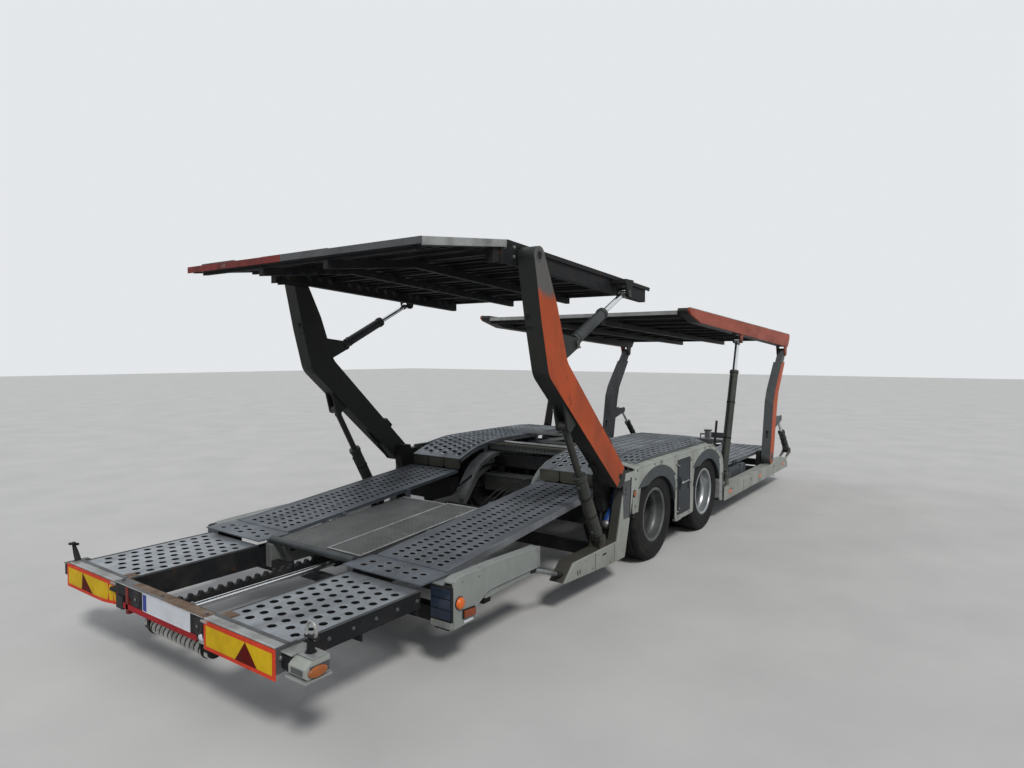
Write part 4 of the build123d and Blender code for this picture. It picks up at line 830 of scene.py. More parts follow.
def marker_board(name, side):
    """A red border, a yellow field and a dark triangle; the left board bends at its inner end."""
    build = Build(side)
    rear, low, high, rim = 0.006 - HALF, 0.352, 0.492, 0.020
    inner, outer, foot_in, foot_out, tip = (
        (0.470, 1.038, 0.735, 0.905, 0.815) if side < 0 else (0.450, 1.068, 0.725, 0.868, 0.852))
    cuts = [inner, inner + rim, inner + 0.06, inner + 0.11, inner + 0.16, 0.72, outer - rim, outer]

    def bend(y, z):
        lean = 0.0 if side < 0 else 0.030 * max(0.0, (0.63 - y) / 0.16) ** 1.5
        return lean * (high - z) / (high - low)

    def patch(outline, thick, mat):
        """A flat figure on the board, cut into strips that follow its bend."""
        for a, b in zip(cuts, cuts[1:]):
            part = clip(outline, a, b)
            if len(part) > 2:
                build.loft(*([(rear - t + bend(y, z), side * y, z) for y, z in part]
                             for t in (0, thick)), mat)

    def field(edge):
        y0, y1, z0, z1 = inner + edge, outer - edge, low + edge, high - edge
        return [(y0, z0), (y1, z0), (y1, z1), (y0, z1)]

    patch(field(0.0), 0.0040, 1)
    patch(field(rim), 0.0048, 0)
    patch([(foot_in, low + rim), (foot_out, low + rim), (tip, high - rim)], 0.0056, 2)
    build.make(f"marker_board_{name}", "rear_extension",
               ["board_yellow", "board_red", "board_dark_red"], replaces="marker_boards")


def number_panel():
    """A bare plate on a dark holder over a red strip, with sockets and a lamp beside it."""
    build = Build()
    build.boxes(
        (0.0040, 0.006, -0.462, 0.262, 0.398, 0.500, 2),
        (0.0022, 0.0040, -0.346, 0.130, 0.402, 0.500, 0),
        (0.0012, 0.0022, -0.346, 0.130, 0.402, 0.406, 0),
        (0.0012, 0.0022, -0.346, 0.130, 0.496, 0.500, 0),
        (0.0012, 0.0022, -0.346, -0.342, 0.406, 0.496, 0),
        (0.0012, 0.0022, 0.126, 0.130, 0.406, 0.496, 0),
        (0.0016, 0.0022, 0.088, 0.126, 0.406, 0.496, 3),
        (0.0020, 0.006, -0.400, 0.350, 0.371, 0.4015, 1),
    )
    build.make("number_plate", "rear_extension",
               ["panel_white", "strip_red", "black_steel", "panel_blue"], 0.0006,
               replaces="number_panel")

    build = Build()
    for y, r in ((-414, 0.043), (205, 0.045)):
        socket = [(-0.0040, 0.001), (-0.0040, r * 0.45), (-0.0022, r * 0.5), (-0.0022, r * 0.76),
                  (-0.0038, r * 0.80), (-0.0038, r * 0.94), (0.0, r)]
        build.turned(socket, (4.2, y, 449), 32, 0, (1, 0, 0))
        build.turned([(-0.0042, 0.001), (-0.0042, 0.007), (-0.0036, 0.008)], (4.2, y + 4, 449), 12,
                     1, (1, 0, 0))
    build.turned([(-0.0030, 0.001), (-0.0030, 0.010), (-0.0020, 0.016), (0.004, 0.023),
                  (0.030, 0.023)], (4, -436, 402), 24, 2, (1, 0, 0))
    build.boxes(
        (0.010, 0.036, -0.462, -0.410, 0.364, 0.382, 4),
        (0.002, 0.030, 0.295, 0.322, 0.345, 0.500, 3),
        (0.004, 0.050, 0.360, 0.440, 0.356, 0.430, 0),
    )
    build.make("plate_fittings", "rear_extension",
               ["hose_plastic", "bolt_steel", "panel_white", "tape_red", "pale_metal"], 0.0012)


def striped_roll():
    """Two pale bands wound round a dark core, on two hooks under the crossbar."""
    build = Build()
    cs, cx, cz, y0, y1 = 120, 0.120 - HALF, 0.276, -0.375, 0.275
    core, band, starts, turns, steps = 0.043, 0.0475, 2, 7, 28
    width = y1 - y0
    build.turned([(0, 0.012), (0, core - 0.003), (0.006, core), (width - 0.006, core),
                  (width, core - 0.003), (width, 0.012)], Vector((cx, y0, cz)))
    total = turns * steps
    for start in range(starts):
        verts = []
        for i in range(total + 1):
            a = math.tau * (i / steps + start / starts)
            y = y0 + 0.008 + (width - 0.04) / turns * i / steps
            swell = 1 + 0.03 * math.sin(i * 0.21 + start)
            for dy, r in ((-0.0015, core - 0.001), (0.0015, band), (0.0235, band),
                          (0.0265, core - 0.001)):
                verts.append((cx + math.cos(a) * r, y + dy * swell, cz + math.sin(a) * r))
        faces = [[i * 4 + k, i * 4 + k + 1, i * 4 + k + 5, i * 4 + k + 4]
                 for i in range(total) for k in range(3)]
        faces += [[0, 1, 2, 3], [total * 4 + k for k in range(4)]]
        build.add(verts, faces, 1, True)
    for y in (-0.330, 0.200):
        build.side_plate([(cs - 52, 286), (cs - 52, 345), (cs - 37, 356), (cs + 20, 356),
                          (cs + 20, 348), (cs - 32, 348), (cs - 44, 338), (cs - 44, 286)],
                         y, y + 0.022, 2)
        build.ring(Vector((cx, y, cz)), 0.0478, 0.053, 0.016, 28, 2)
    build.make("striped_roll", "rear_extension",
               ["hose_plastic", "hose_white", "black_steel"], replaces="hose_roll")


def crossbar_trim():
    """Pale lips at both sides, a rusty plate in the middle, and end plates."""
    build = Build()
    for build.side in (1, -1):
        build.bar((12, 462, 496.5), (12, 1038, 496.5), 0.0065, 12, 0)
        build.boxes(
            (0.018, 0.074, 0.462, 1.037, 0.496, 0.500, 0),
            (0.060, 0.082, 0.462, 1.037, 0.488, 0.503, 2),
            (0.006, 0.120, 1.034, 1.040, 0.380, 0.500, 2),
            (0.070, 0.150, 0.462, 0.545, 0.4905, 0.4935, 1),
        )
        build.bolts([(30, 1040, 450), (105, 1040, 450)], 0.011, 3)
        build.bar((10, 500, 484), (10, 440, 484), 0.010, 16, 0)
    build.side = 1
    build.boxes(
        (0.0045, 0.078, -0.462, -0.060, 0.4972, 0.5005, 1),
        (0.0045, 0.078, -0.060, 0.462, 0.4972, 0.5004, 2),
        (0.030, 0.078, -0.060, 0.300, 0.4990, 0.5007, 1),
        (0.0020, 0.0065, -0.462, 0.462, 0.5006, 0.5030, 0),
        (0.074, 0.080, -0.462, 0.462, 0.450, 0.5005, 1),
    )
    build.bolts([(45, y, 500.5) for y in (-430, 0, 430)], 0.008, 2, (0, 0, 1))
    build.make("crossbar_trim", "rear_extension",
               ["pale_metal", "rust_steel", "grey_steel", "bolt_steel"], 0.0015)


def corner_box_right():
    """A pale box with an oval lamp on its outer face, and a short post with a wire bow."""
    build = Build(-1)
    build.side_plate([(30, 398), (18, 410), (18, 446), (52, 472), (150, 474), (150, 398)],
                     1.110, 1.226, 0)
    build.boxes(
        (0.034, 0.144, 1.036, 1.110, 0.404, 0.466, 6),
        (0.030, 0.150, 1.036, 1.118, 0.474, 0.481, 1),
        (0.012, 0.156, 1.096, 1.233, 0.384, 0.396, 1),
        (0.060, 0.146, 1.120, 1.222, 0.474, 0.480, 1),
        (0.040, 0.146, 1.226, 1.2295, 0.408, 0.452, 3),
        (0.0165, 0.0195, 1.128, 1.208, 0.414, 0.440, 3),
    )
    start, lamp = len(build.verts), (80, 1228.5, 424)
    build.turned([(0.0, 0.022), (0.006, 0.022), (0.011, 0.0185), (0.012, 0.001)], lamp, 28, 2)
    build.stretch(start, lamp, 2.3, 1.1)
    low, high = spot(100, -1158, 474), spot(88, -1174, 548)
    build.turned([(0, 0.028), (0.006, 0.028), (0.010, 0.019), (0.050, 0.0165), (0.074, 0.016)],
                 low, 20, 5, high - low)
    top = high + Vector((-0.004, -0.006, 0.016))
    bow = [(-0.026, -0.014), (-0.034, 0.020), (-0.022, 0.054), (0.0, 0.066), (0.022, 0.054),
           (0.034, 0.020), (0.026, -0.014)]
    build.tube([top + Vector((0.004, dy, dz)) for dy, dz in bow], 0.0075, 10, 1, 0.45)
    build.bar(*(top + Vector((0.004, dy, -0.006)) for dy in (-0.042, 0.042)), 0.009, 14, 5)
    build.make("corner_box_right", "rear_extension",
               ["pale_paint", "pale_metal", "lens_dull", "grey_steel", "lens_red", "black_steel",
                "black_steel"], 0.004, replaces="corner_boxes")


def corner_block_left():
    """A dark block with a short post that ends in three arms."""
    build = Build()
    build.side_plate([(25, 400), (25, 462), (40, 470), (150, 470), (150, 400)], 1.037, 1.163, 0)
    build.box(0.020, 0.155, 1.035, 1.163, 0.470, 0.476, 1)
    low, high = spot(75, 1090, 474), spot(60, 1120, 590)
    build.turned([(0, 0.024), (0.006, 0.024), (0.012, 0.018), (0.06, 0.016), (0.105, 0.011),
                  (0.118, 0.010)], low, 16, 0, high - low)
    for k in range(3):
        arm = Vector((math.cos(k * 2.1) * 0.030, math.sin(k * 2.1) * 0.030, 0.008 * (k - 1)))
        build.bar(high - arm * 0.3, high + arm, 0.0085, 10, 0)
    build.bar(high - Vector((0, 0, 0.004)), high + Vector((0, 0, 0.012)), 0.013, 12, 0)
    build.make("corner_block_left", "rear_extension", ["black_steel", "grey_steel"],
               0.003, replaces="corner_boxes")


for name, side in SIDES:
    marker_board(name, side)
for part in (number_panel, striped_roll, crossbar_trim, corner_box_right, corner_block_left):
    part()


# Wheels: profiles as (distance from the middle, radius), the tyre's in shares of half its width
TYRE_R, BEAD_R, TYRE_W, TWIN_MID, TWIN_PITCH = 0.395, 0.222, 0.244, 0.945, 0.276
AXLES = (("rear", 3725), ("front", 4975))
TREAD = [(-0.80, 0.393), (-0.60, 0.3938), (-0.57, 0.3938), (-0.565, 0.381), (-0.49, 0.381),
         (-0.485, 0.3942), (-0.21, 0.3948), (-0.205, 0.382), (-0.13, 0.382), (-0.125, 0.3949),
         (0.125, 0.3949), (0.13, 0.382), (0.205, 0.382), (0.21, 0.3948), (0.485, 0.3942),
         (0.49, 0.381), (0.565, 0.381), (0.57, 0.3938), (0.60, 0.3938), (0.80, 0.393)]
WALL = [(0.93, 0.373), (0.955, 0.361), (0.948, 0.354), (0.972, 0.336), (0.990, 0.318),
        (0.998, 0.302), (0.992, 0.294), (0.975, 0.285), (0.984, 0.279), (0.970, 0.262),
        (0.945, 0.248), (0.925, 0.241), (0.90, 0.2385), (0.84, 0.2305), (0.72, 0.2225)]
TYRE = [(-y, r) for y, r in reversed(WALL)] + TREAD + WALL
SEAT = BEAD_R - 0.0003
INNER = SEAT - 0.012
LIP = TWIN_PITCH / 2 + TYRE_W / 2 - 0.008
ROOT = TWIN_PITCH / 2 - TYRE_W / 2 + 0.008
RIM_BACK = [(0, 0.1203), (0, 0.168), (ROOT - 0.004, SEAT), (0.07, SEAT), (0.085, SEAT - 0.008),
            (0.15, SEAT - 0.008), (0.165, SEAT), (LIP - 0.012, SEAT), (LIP - 0.008, SEAT + 0.012),
            (LIP - 0.002, SEAT + 0.0145)]
RIM_EDGE = [(LIP - 0.002, SEAT + 0.0145), (LIP, SEAT + 0.0105), (LIP - 0.001, INNER + 0.006),
            (LIP - 0.006, INNER + 0.001), (LIP - 0.012, INNER)]
RIM_BARREL = [(LIP - 0.012, INNER), (0.190, INNER - 0.001), (0.172, INNER - 0.007),
              (0.166, INNER - 0.012), (0.120, INNER - 0.012), (0.112, INNER - 0.006),
              (0.070, INNER - 0.005), (ROOT + 0.014, INNER - 0.006)]
RIM_DISH = [(ROOT + 0.014, INNER - 0.006), (0.034, 0.184), (0.024, 0.166), (0.018, 0.160),
            (0.013, 0.156), (0.012, 0.1203)]
HUB = [(-0.285, 0.0451), (-0.285, 0.172), (-0.278, 0.175), (-0.200, 0.175), (-0.194, 0.171),
       (-0.180, 0.171), (-0.174, 0.175), (-0.095, 0.175), (-0.090, 0.170), (-0.080, 0.120),
       (0.024, 0.120), (0.029, 0.112), (0.034, 0.094), (0.070, 0.089), (0.095, 0.087),
       (0.115, 0.084), (0.123, 0.074), (0.129, 0.060), (0.132, 0.040), (0.132, 0.001),
       (0.095, 0.001), (0.095, 0.0451)]


def wheel_set(end, s, name, side):
    """A twin wheel: two tyres, two rims back to back, nuts, hub and valve."""
    body = f"wheels_{end}_{name}"
    hub = spot(s, 0, TYRE_R * 1000)

    def on_wheel(y, c, s, radius):
        return hub + Vector((c * radius, side * (TWIN_MID + y), s * radius))

    build = Build(side)
    for away in (-1, 1):
        mid = TWIN_MID + away * TWIN_PITCH / 2
        build.turned([(mid + y * TYRE_W / 2, r) for y, r in TYRE], hub, 96, close=True)
    build.make(f"tyre_pair_{end}_{name}", body, ["tyre"], replaces=f"tyres_{end}_{name}")

    build = Build(side)
    # The front rims' edge and barrel take the lighter rim copy: a painted highlight
    well_highlight = 3 if end == "front" else 0
    for away in (-1, 1):
        for rows, mat in ((RIM_BACK, 0), (RIM_EDGE, well_highlight), (RIM_BARREL, well_highlight), (RIM_DISH, 0)):
            build.open_turned([(TWIN_MID + away * y, r) for y, r in rows], hub, 72, mat)
    for c, s in on_circle(10, 0.5):
        nut = on_wheel(0.012, c, s, 0.1385)
        build.turned([(0, 0.0165), (0.004, 0.0165), (0.004, 0.0135), (0.018, 0.0135),
                      (0.021, 0.011)], nut, 6, 1, smooth=False)
        build.turned([(0.02, 0.0085), (0.034, 0.0085), (0.036, 0.007)], nut, 10, 1)
    build.turned([(TWIN_MID + y, r) for y, r in HUB], hub, 48, 2, close=True)
    build.bolts([on_wheel(0.122, c, s, 0.073) for c, s in on_circle(8)], 0.007, 1)
    valve_turn = 0.9
    valve = math.cos(valve_turn), math.sin(valve_turn)
    build.tube([on_wheel(y, *valve, r) for y, r in ((0.06, 0.196), (0.10, 0.188), (0.150, 0.184))],
               0.0045, 8, 1)
    build.make(f"rim_pair_{end}_{name}", body,
               ["rim_paint", "bolt_steel", "grey_steel", "rim_painted_highlight"],
               replaces=f"rims_{end}_{name}")


for end, s in AXLES:
    for name, side in SIDES:
        wheel_set(end, s, name, side)


# Fenders, guards and rails
def skin_trim(name, side):
    """The fender skins' rolled lips, edge plates and bolts, and pale ovals at their front end."""
    build = Build(side)
    rear_edge = [(3244, 500), (3224, 505), (3225, 770), (3245, 812), (3252, 868), (3300, 868)]
    middle = [(4150, 512), (4124, 505), (4124, 280), (4140, 264), (4550, 264), (4576, 280),
              (4576, 512)]
    front_edge = [(4800, 868), (5085, 868), (5160, 856), (5240, 818), (5405, 742), (5450, 700),
                  (5482, 640), (5484, 270), (5460, 230), (5405, 228), (5382, 252), (5372, 470)]
    for line in (rear_edge, middle, front_edge):
        build.tube([(s, 1229, z) for s, z in line], 0.0052)
    build.tube([(s, 1226, 868) for s in (3250, 4200, 5080)], 0.007)
    heights = [0.363 + (0.064 if s > 0 else -0.064) + s * 0.040 for _, s in on_circle(24)]
    reach = [c * 0.040 for c, _ in on_circle(24)]
    build.face_plate([(1.196 + side * c, z) for c, z in zip(reach, heights)], 5.362, 5.371, 3)
    build.prism([(5.420 - HALF + c * 0.95, z) for c, z in zip(reach, heights)], 1.2300, 1.2345, 3)
    # Two dark grey plates, on the side and on the front rail's rear end face: painted shade of the
    # gap between fender and rail
    build.boxes(
        (5.463, 5.4895, 1.2300, 1.2355, 0.232, 0.520, 1),
        (5.4855, 5.4895, 1.118, 1.246, 0.209, 0.350, 1),
    )
    bolts = ((3262, 560), (3262, 780), (3300, 846), (3650, 852), (3800, 852), (4148, 560),
             (4148, 640), (4148, 780), (4524, 780), (4524, 560), (4200, 282), (4480, 282),
             (4900, 852), (5060, 850), (5250, 790), (5440, 520), (5440, 380))
    build.bolts([(s, 1230, z) for s, z in bolts], 0.0085, 2)
    build.side_plate([(4133, 270), (4133, 262), (4145, 252), (4262, 252), (4275, 262),
                      (4275, 270)], 1.205, 1.232, 0)
    build.make(f"skin_trim_{name}", "root",
               ["pale_paint", "grey_steel", "bolt_steel", "pale_metal"])


def door_fittings(name, side):
    """An oval latch, a pale handle bar, a raised rim and hinge bolts on the locker's door."""
    build = Build(side)
    latch = (4226, 1232, 598)
    build.turned([(0, 0.040), (0.005, 0.040), (0.008, 0.036), (0.009, 0.026), (0.005, 0.022),
                  (0.005, 0.0)], latch, 28, 0)
    build.stretch(0, latch, 0.72, 1.5)
    build.box(4.216, 4.236, 1.2365, 1.2415, 0.580, 0.612, 0)
    build.tube([(4278, 1234, 590), (4284, 1243, 592), (4428, 1243, 598), (4434, 1234, 600)],
               0.0055, 8, 1, 0.1)
    build.bar((4310, 1230, 594), (4310, 1243, 594), 0.012, 12, 1)
    s0, s1, z0, z1, rim = 4.179, 4.494, 0.306, 0.812, 0.010
    for a, b, c, d in ((s0, s1, z0, z0 + rim), (s0, s1, z1 - rim, z1),
                       (s0, s0 + rim, z0 + rim, z1 - rim), (s1 - rim, s1, z0 + rim, z1 - rim)):
        build.box(a, b, 1.2318, 1.2338, c, d, 2)
    build.bolts([(s, 1232, z) for z in (360, 760) for s in (4205, 4225)], 0.006, 1)
    build.make(f"door_fittings_{name}", f"locker_door_{name}",
               ["black_steel", "pale_metal", "door_grey"], 0.0012)


def lamps(name, side):
    """Round lamps on the post and the guard, the guard's wide lamp, and lenses on the rail."""
    build = Build(side)
    post, guard = (3240, 1230, 664), (1064, 1200, 416)
    build.turned([(0, 0.031), (0.006, 0.031), (0.008, 0.027)], post, 28, 1)
    build.turned([(0.008, 0.0245), (0.011, 0.0240), (0.0118, 0.018), (0.012, 0.001)], post, 28, 4)
    build.turned([(0, 0.0375), (0.004, 0.0375), (0.006, 0.035)], guard, 32, 1)
    build.turned([(0.004, 0.034), (0.010, 0.0335), (0.018, 0.029), (0.023, 0.018),
                  (0.0245, 0.001)], guard, 32, 0)
    build.side_plate([(1088, 318), (1196, 312), (1198, 362), (1090, 370)], 1.200, 1.207, 1)
    build.side_plate([(1094, 324), (1190, 318), (1192, 357), (1096, 364)], 1.207, 1.217, 2)
    build.box(1.104, 1.182, 1.200, 1.204, 0.288, 0.304, 3)
    for s in (5.700, 6.900, 8.050):
        build.box(s - 0.045, s + 0.045, 1.2448, 1.2485, 0.262, 0.300, 0)
    build.make(f"lamps_{name}", "root",
               ["amber_lens", "black_steel", "lens_brown", "panel_white", "lens_dull"], 0.0012,
               replaces="side_lamps")


def side_guard(name, side):
    """A folded plate with the rear light housing, a lower member and a link to the rail."""
    build = Build(side)
    drop = 0 if side < 0 else -42
    top = [(1016, 540 + drop), (1060, 557 + drop), (1400, 556 + drop * 0.6), (1884, 540)]
    low = [(1884, 411), (1335, 413), (1200, 342), (1196, 280), (1016, 280)]
    build.side_plate(top + low, 1.188, 1.200, 0)
    for (s0, z0), (s1, z1) in zip(top, top[1:]):
        build.side_plate([(s0, z0), (s1, z1), (s1, z1 - 10), (s0, z0 - 10)], 1.128, 1.190, 0)
    build.tube([(s, 1196, z - 2) for s, z in top], 0.0055, 8, 0, 0.1)
    build.tube([(s, 1196, z + 2) for s, z in low], 0.0055, 8, 0, 0.15)
    build.side_plate([(1310, 366), (1335, 362), (1806, 378), (1806, 414), (1340, 409),
                      (1310, 396)], 1.160, 1.187, 0)
    for s in (1.320, 1.560, 1.790):
        build.box(s - 0.012, s + 0.012, 1.150, 1.162, 0.372, 0.440, 1)
    build.bar((1790, 1172, 398), (1850, 1176, 392), 0.022, 16, 1)
    build.bar((1836, 1178, 396), (2136, 1186, 286), 0.015, 14, 2)
    build.bar((2100, 1186, 300), (2170, 1188, 276), 0.020, 14, 1)
    # the light housing, with a pale lip below, three dark navy lenses of painted shade and a
    # bracket to the outrigger
    build.box(1.010, 1.180, 1.048, 1.196, 0.312, 0.512, 1)
    build.side_plate([(996, 282), (996, 318), (1020, 322), (1180, 318), (1180, 282)],
                     1.048, 1.196, 0)
    build.boxes(
        (0.998, 1.012, 1.048, 1.197, 0.322, 0.508, 1),
        (0.992, 0.999, 1.052, 1.192, 0.332, 0.384, 3),
        (0.992, 0.999, 1.052, 1.192, 0.390, 0.446, 3),
        (0.992, 0.999, 1.052, 1.192, 0.452, 0.500, 3),
        (1.004, 1.180, 1.048, 1.128, 0.512, 0.520, 2),
        (1.030, 1.120, 1.050, 1.150, 0.255, 0.283, 1),
    )
    build.make(f"side_guard_{name}", "root",
               ["guard_paint", "black_steel", "flange_grey", "lens_shaded_navy"], 0.0025,
               replaces="side_guards")


def rail_trim(name, side):
    """The guard's bolts, and the rails' slots, seams, bolts and rolled edges."""
    build = Build(side)
    for s, z in ((1090, 530), (1240, 520), (1860, 520), (1860, 430)):
        drop = 42 if side > 0 and s < 1300 else 0
        build.bolts([(s, 1199, z - drop)], 0.006, 2)
    for s, z, half_s, half_z in ((2300, 262, 6, 18), (2332, 262, 6, 18), (2700, 300, 30, 7),
                                 (5760, 300, 24, 7), (6500, 300, 24, 7), (7600, 300, 24, 7),
                                 (8240, 292, 14, 14)):
        r = min(half_s, half_z)
        outline = [(s + (half_s - r) * (1 if c > 0 else -1) + c * r,
                    z + (half_z - r) * (1 if d > 0 else -1) + d * r) for c, d in on_circle(16)]
        build.side_plate(outline, 1.2440, 1.2456, 1)
    for s in (2.560, 2.860, 6.200, 6.890, 7.560):
        low, high = (0.208, 0.344) if s < 4 else (0.210, 0.351)
        build.box(s - 0.002, s + 0.002, 1.2440, 1.2462, low, high, 1)
    bolts = ((2420, 320), (2520, 240), (2600, 320), (2820, 240), (5560, 240), (5560, 310),
             (6150, 240), (6250, 320), (6840, 240), (6940, 320), (7510, 240), (7610, 320),
             (8120, 240), (8160, 320))
    build.bolts([(s, 1243, z) for s, z in bolts], 0.0065, 2)
    for radius, line in (
        (0.0055, ((2126, 240), (2252, 343), (3030, 343))),
        (0.0055, ((5515, 334), (5680, 334), (5720, 350), (8208, 350), (8312, 238))),
        (0.006, ((2874, 200), (3058, 850))),
        (0.006, ((3040, 200), (3232, 850))),
    ):
        build.tube([(s, 1241, z) for s, z in line], radius, 8, 0, 0.1)
    build.make(f"rail_trim_{name}", "root",
               ["pale_paint", "black_steel", "bolt_steel"])


def upright_strip(name, side):
    """The grey strip over the slanted post, with a dark edge of painted shade in front of it."""
    build = Build(side)
    build.side_plate([(3018, 500), (3114, 500), (3140, 796), (2998, 796)], 1.2450, 1.2480, 0)
    # The dark edge: painted shade of the gap in front of the post
    build.side_plate([(3112, 492), (3126, 492), (3154, 812), (3138, 812)], 1.236, 1.2492, 1)
    for z in (690, 730):
        build.turned([(0, 0.010), (0.0012, 0.009), (0.0014, 0.001)], (3050, 1248, z), 12, 1)
    build.make(f"upright_strip_{name}", "root",
               ["grey_steel", "black_steel", "bolt_steel"], 0.0008)


for name, side in SIDES:
    for part in (skin_trim, door_fittings, lamps, side_guard, rail_trim, upright_strip):
        part(name, side)


# Arms, posts and their pins
def arm_pins(name, side):
    """A ring round the arm's tip, and steel lines clipped along the arm's rear face."""
    build = Build(side)
    build.ring((1785, 1246, 2408), 0.0256, 0.044, 0.0038, 36, 0)
    route = [(2850, 826), (2560, 1150), (2120, 1640), (1905, 1920), (1838, 2080)]
    for y in (1140, 1162):
        build.tube([(s - 38, y, z - 34) for s, z in route], 0.006, 8, 2, 0.2)
    for (s0, z0), (s1, z1) in zip(route, route[1:]):
        s, z = (s0 + s1) / 2000 - 0.034, (z0 + z1) / 2000 - 0.030
        build.box(s - 0.018, s + 0.018, 1.125, 1.177, z - 0.012, z + 0.012, 2)
    build.make(f"arm_pins_{name}", "rear_arms",
               ["grey_steel", "bolt_steel", "black_steel"], 0.001)


def post_pins(name, side):
    """A ring round the post's foot, a dark painted-shade keyhole in its rear face and a steel line.
    """
    build = Build(side)
    build.ring((7450, 1243, 450), 0.0256, 0.060, 0.0045, 36, 0)
    # A flat black keyhole: painted shade standing for the slot's depth
    turns = [math.radians(-150 + 20 * k) for k in range(16)]
    outline = [(math.sin(t) * 0.020, 0.030 + math.cos(t) * 0.020) for t in turns]
    outline += [(0.010, -0.045), (0.0, -0.052), (-0.010, -0.045)]
    rear, lean = 7.362 - HALF - 0.0012, 128 / 730
    low = [Vector((rear + (0.30 + v) * lean, side * 1.187 + u, 0.450 + 0.30 + v))
           for u, v in outline]
    build.loft(low, [p + Vector((0.003, 0, 0)) for p in low], 2)
    build.tube([(7560, 1140, 520), (7620, 1140, 1150), (7700, 1140, 1330), (8020, 1140, 1700)],
               0.006, 8, 2, 0.2)
    build.make(f"post_pins_{name}", "front_posts",
               ["grey_steel", "bolt_steel", "black_steel"], 0.0008)


# Pin ends in the ears: station, height, inner width (0 for a short one) and outer width
EAR_PINS = (
    ("arm_ear_pins", "rear_arms", ((2290, 1870, 1.126, 1.244),)),
    ("platform_ear_pins", "rear_platform", ((1785, 2408, 0, 1.2465), (3110, 2283, 1.136, 1.236))),
    ("root_ear_pins", "root", ((2700, 410, 1.136, 1.236), (5614, 470, 1.141, 1.241),
                               (8480, 420, 1.141, 1.241), (7450, 450, 0, 1.2465))),
    ("front_platform_pins", "front_platform", ((6065, 1972, 1.141, 1.241),
                                               (8085, 1838, 1.133, 1.2455))),
)


def ear_pins(name, side):
    """The pins' dished ends, with keeper plates on the long ones."""
    for node, body, points in EAR_PINS:
        build = Build(side)
        for s, z, inner, outer in points:
            build.turned([(0, 0.0235), (0.0012, 0.0235), (0.0014, 0.0215), (0.0006, 0.020),
                          (0.0006, 0.001)], (s, outer * 1000, z), 24, 0 if inner else 1)
            if inner:
                build.box(s / 1000 - 0.026, s / 1000 + 0.026, outer, outer + 0.004,
                          z / 1000 - 0.034, z / 1000 - 0.022, 0)
                build.bar((s, inner * 1000 - 6, z), (s, outer * 1000 + 2, z), 0.0195, 20, 0)
        build.make(f"{node}_{name}", body, ["cylinder_paint", "black_steel"], 0.0005)


for name, side in SIDES:
    for part in (arm_pins, post_pins, ear_pins):
        part(name, side)

# Cylinders: foot pin and eye pin (station, height), barrel length, radii of barrel and rod, width
CYLINDERS = {
    "lift": ((2700, 410), (2206, 1302), 0.590, 0.046, 0.026, 1185),
    "tilt": ((2290, 1870), (3110, 2283), 0.520, 0.040, 0.020, 1185),
    "front_lift": ((5614, 470), (6065, 1972), 1.200, 0.044, 0.024, 1190),
    "front_post": ((8480, 420), (7930, 930), 0.440, 0.042, 0.022, 1190),
}


def cylinder(kind, foot, eye, span, r, rod, width, name, side):
    """Gland rings and the eyes' bushes, and on all but the tilt cylinder ports and a line."""
    a, b = (spot(s, side * width, z) for s, z in (foot, eye))
    d = (b - a).normalized()
    back = Vector((0, 1, 0)).cross(d).normalized()
    if back.x > 0:
        back = -back
    build = Build(side)
    build.turned([(0, r), (0.004, r + 0.006), (0.020, r + 0.006), (0.024, r + 0.003),
                  (0.034, r + 0.004), (0.034, r)], a + d * (span - 0.036), 32, 0, d, close=True)
    build.turned([(0, rod + 0.001), (0, rod + 0.010), (0.0015, rod + 0.009),
                  (0.0025, rod + 0.001)], a + d * span, 28, 1, d, close=True)
    build.turned([(0, r), (0.002, r + 0.004), (0.010, r + 0.004), (0.012, r)], a + d * 0.075, 32,
                 0, d, close=True)
    if kind != "tilt":
        ports = 0.10, span - 0.075
        for port in ports:
            c = a + d * port + back * (r + 0.004)
            build.bar(c - back * 0.010, c + back * 0.006, 0.012, 10, 0)
            build.bar(c + back * 0.004, c + back * 0.012, 0.008, 6, 1)
        p0, p1 = (a + d * port + back * (r + 0.010) for port in ports)
        build.tube([p0, p0 + d * 0.03, p0.lerp(p1, 0.5), p1 - d * 0.03, p1], 0.0045, 8, 2, 0.3)
        for share in (0.3, 0.7):
            build.turned([(0, r + 0.0015), (0.002, r + 0.0035), (0.014, r + 0.0035),
                          (0.016, r + 0.0015)], a + d * (0.10 + (span - 0.175) * share), 28, 2, d,
                         close=True)
    for half in (-1, 1):
        build.ring(a + Vector((0, half * 0.0285, 0)), 0.019, 0.030, 0.003, 28, 1, (0, half, 0))
    build.make(f"{kind}_fittings_{name}", f"{kind}_barrels",
               ["cylinder_paint", "slate_steel", "black_steel"])

    build = Build(side)
    for half in (-1, 1):
        build.ring(b + Vector((0, half * 0.0285, 0)), 0.012, 0.030, 0.003, 28, 0, (0, half, 0))
    build.turned([(0, rod), (0.002, rod + 0.004), (0.024, rod + 0.004), (0.026, rod)],
                 b - d * 0.066, 28, 1, d)
    build.make(f"{kind}_eye_{name}", f"{kind}_rods",
               ["slate_steel", "cylinder_paint"])


for kind, sizes in CYLINDERS.items():
    for name, side in SIDES:
        cylinder(kind, *sizes, name, side)


# Front platform and frame
def beam_trim(name, side):
    """A pale lip on top of the front platform's beam."""
    build = Build(side)
    build.strip(metres([(4378, 2238.5), (8262, 2090.6)]), 0.02, 0, 0.006, -0.001, 1.225, 1.2495)
    build.make(f"beam_trim_{name}", "front_platform", ["pale_metal"], 0.0008)


def front_platform_edge():
    """A pale line along the front platform's rear edge."""
    build = Build()
    build.box(4.3865, 4.3915, -1.122, 1.122, 2.180, 2.214)
    build.box(4.3865, 4.410, -1.122, 1.122, 2.2145, 2.2175)
    build.make("front_platform_edge", "front_platform", ["pale_metal"], 0.001)


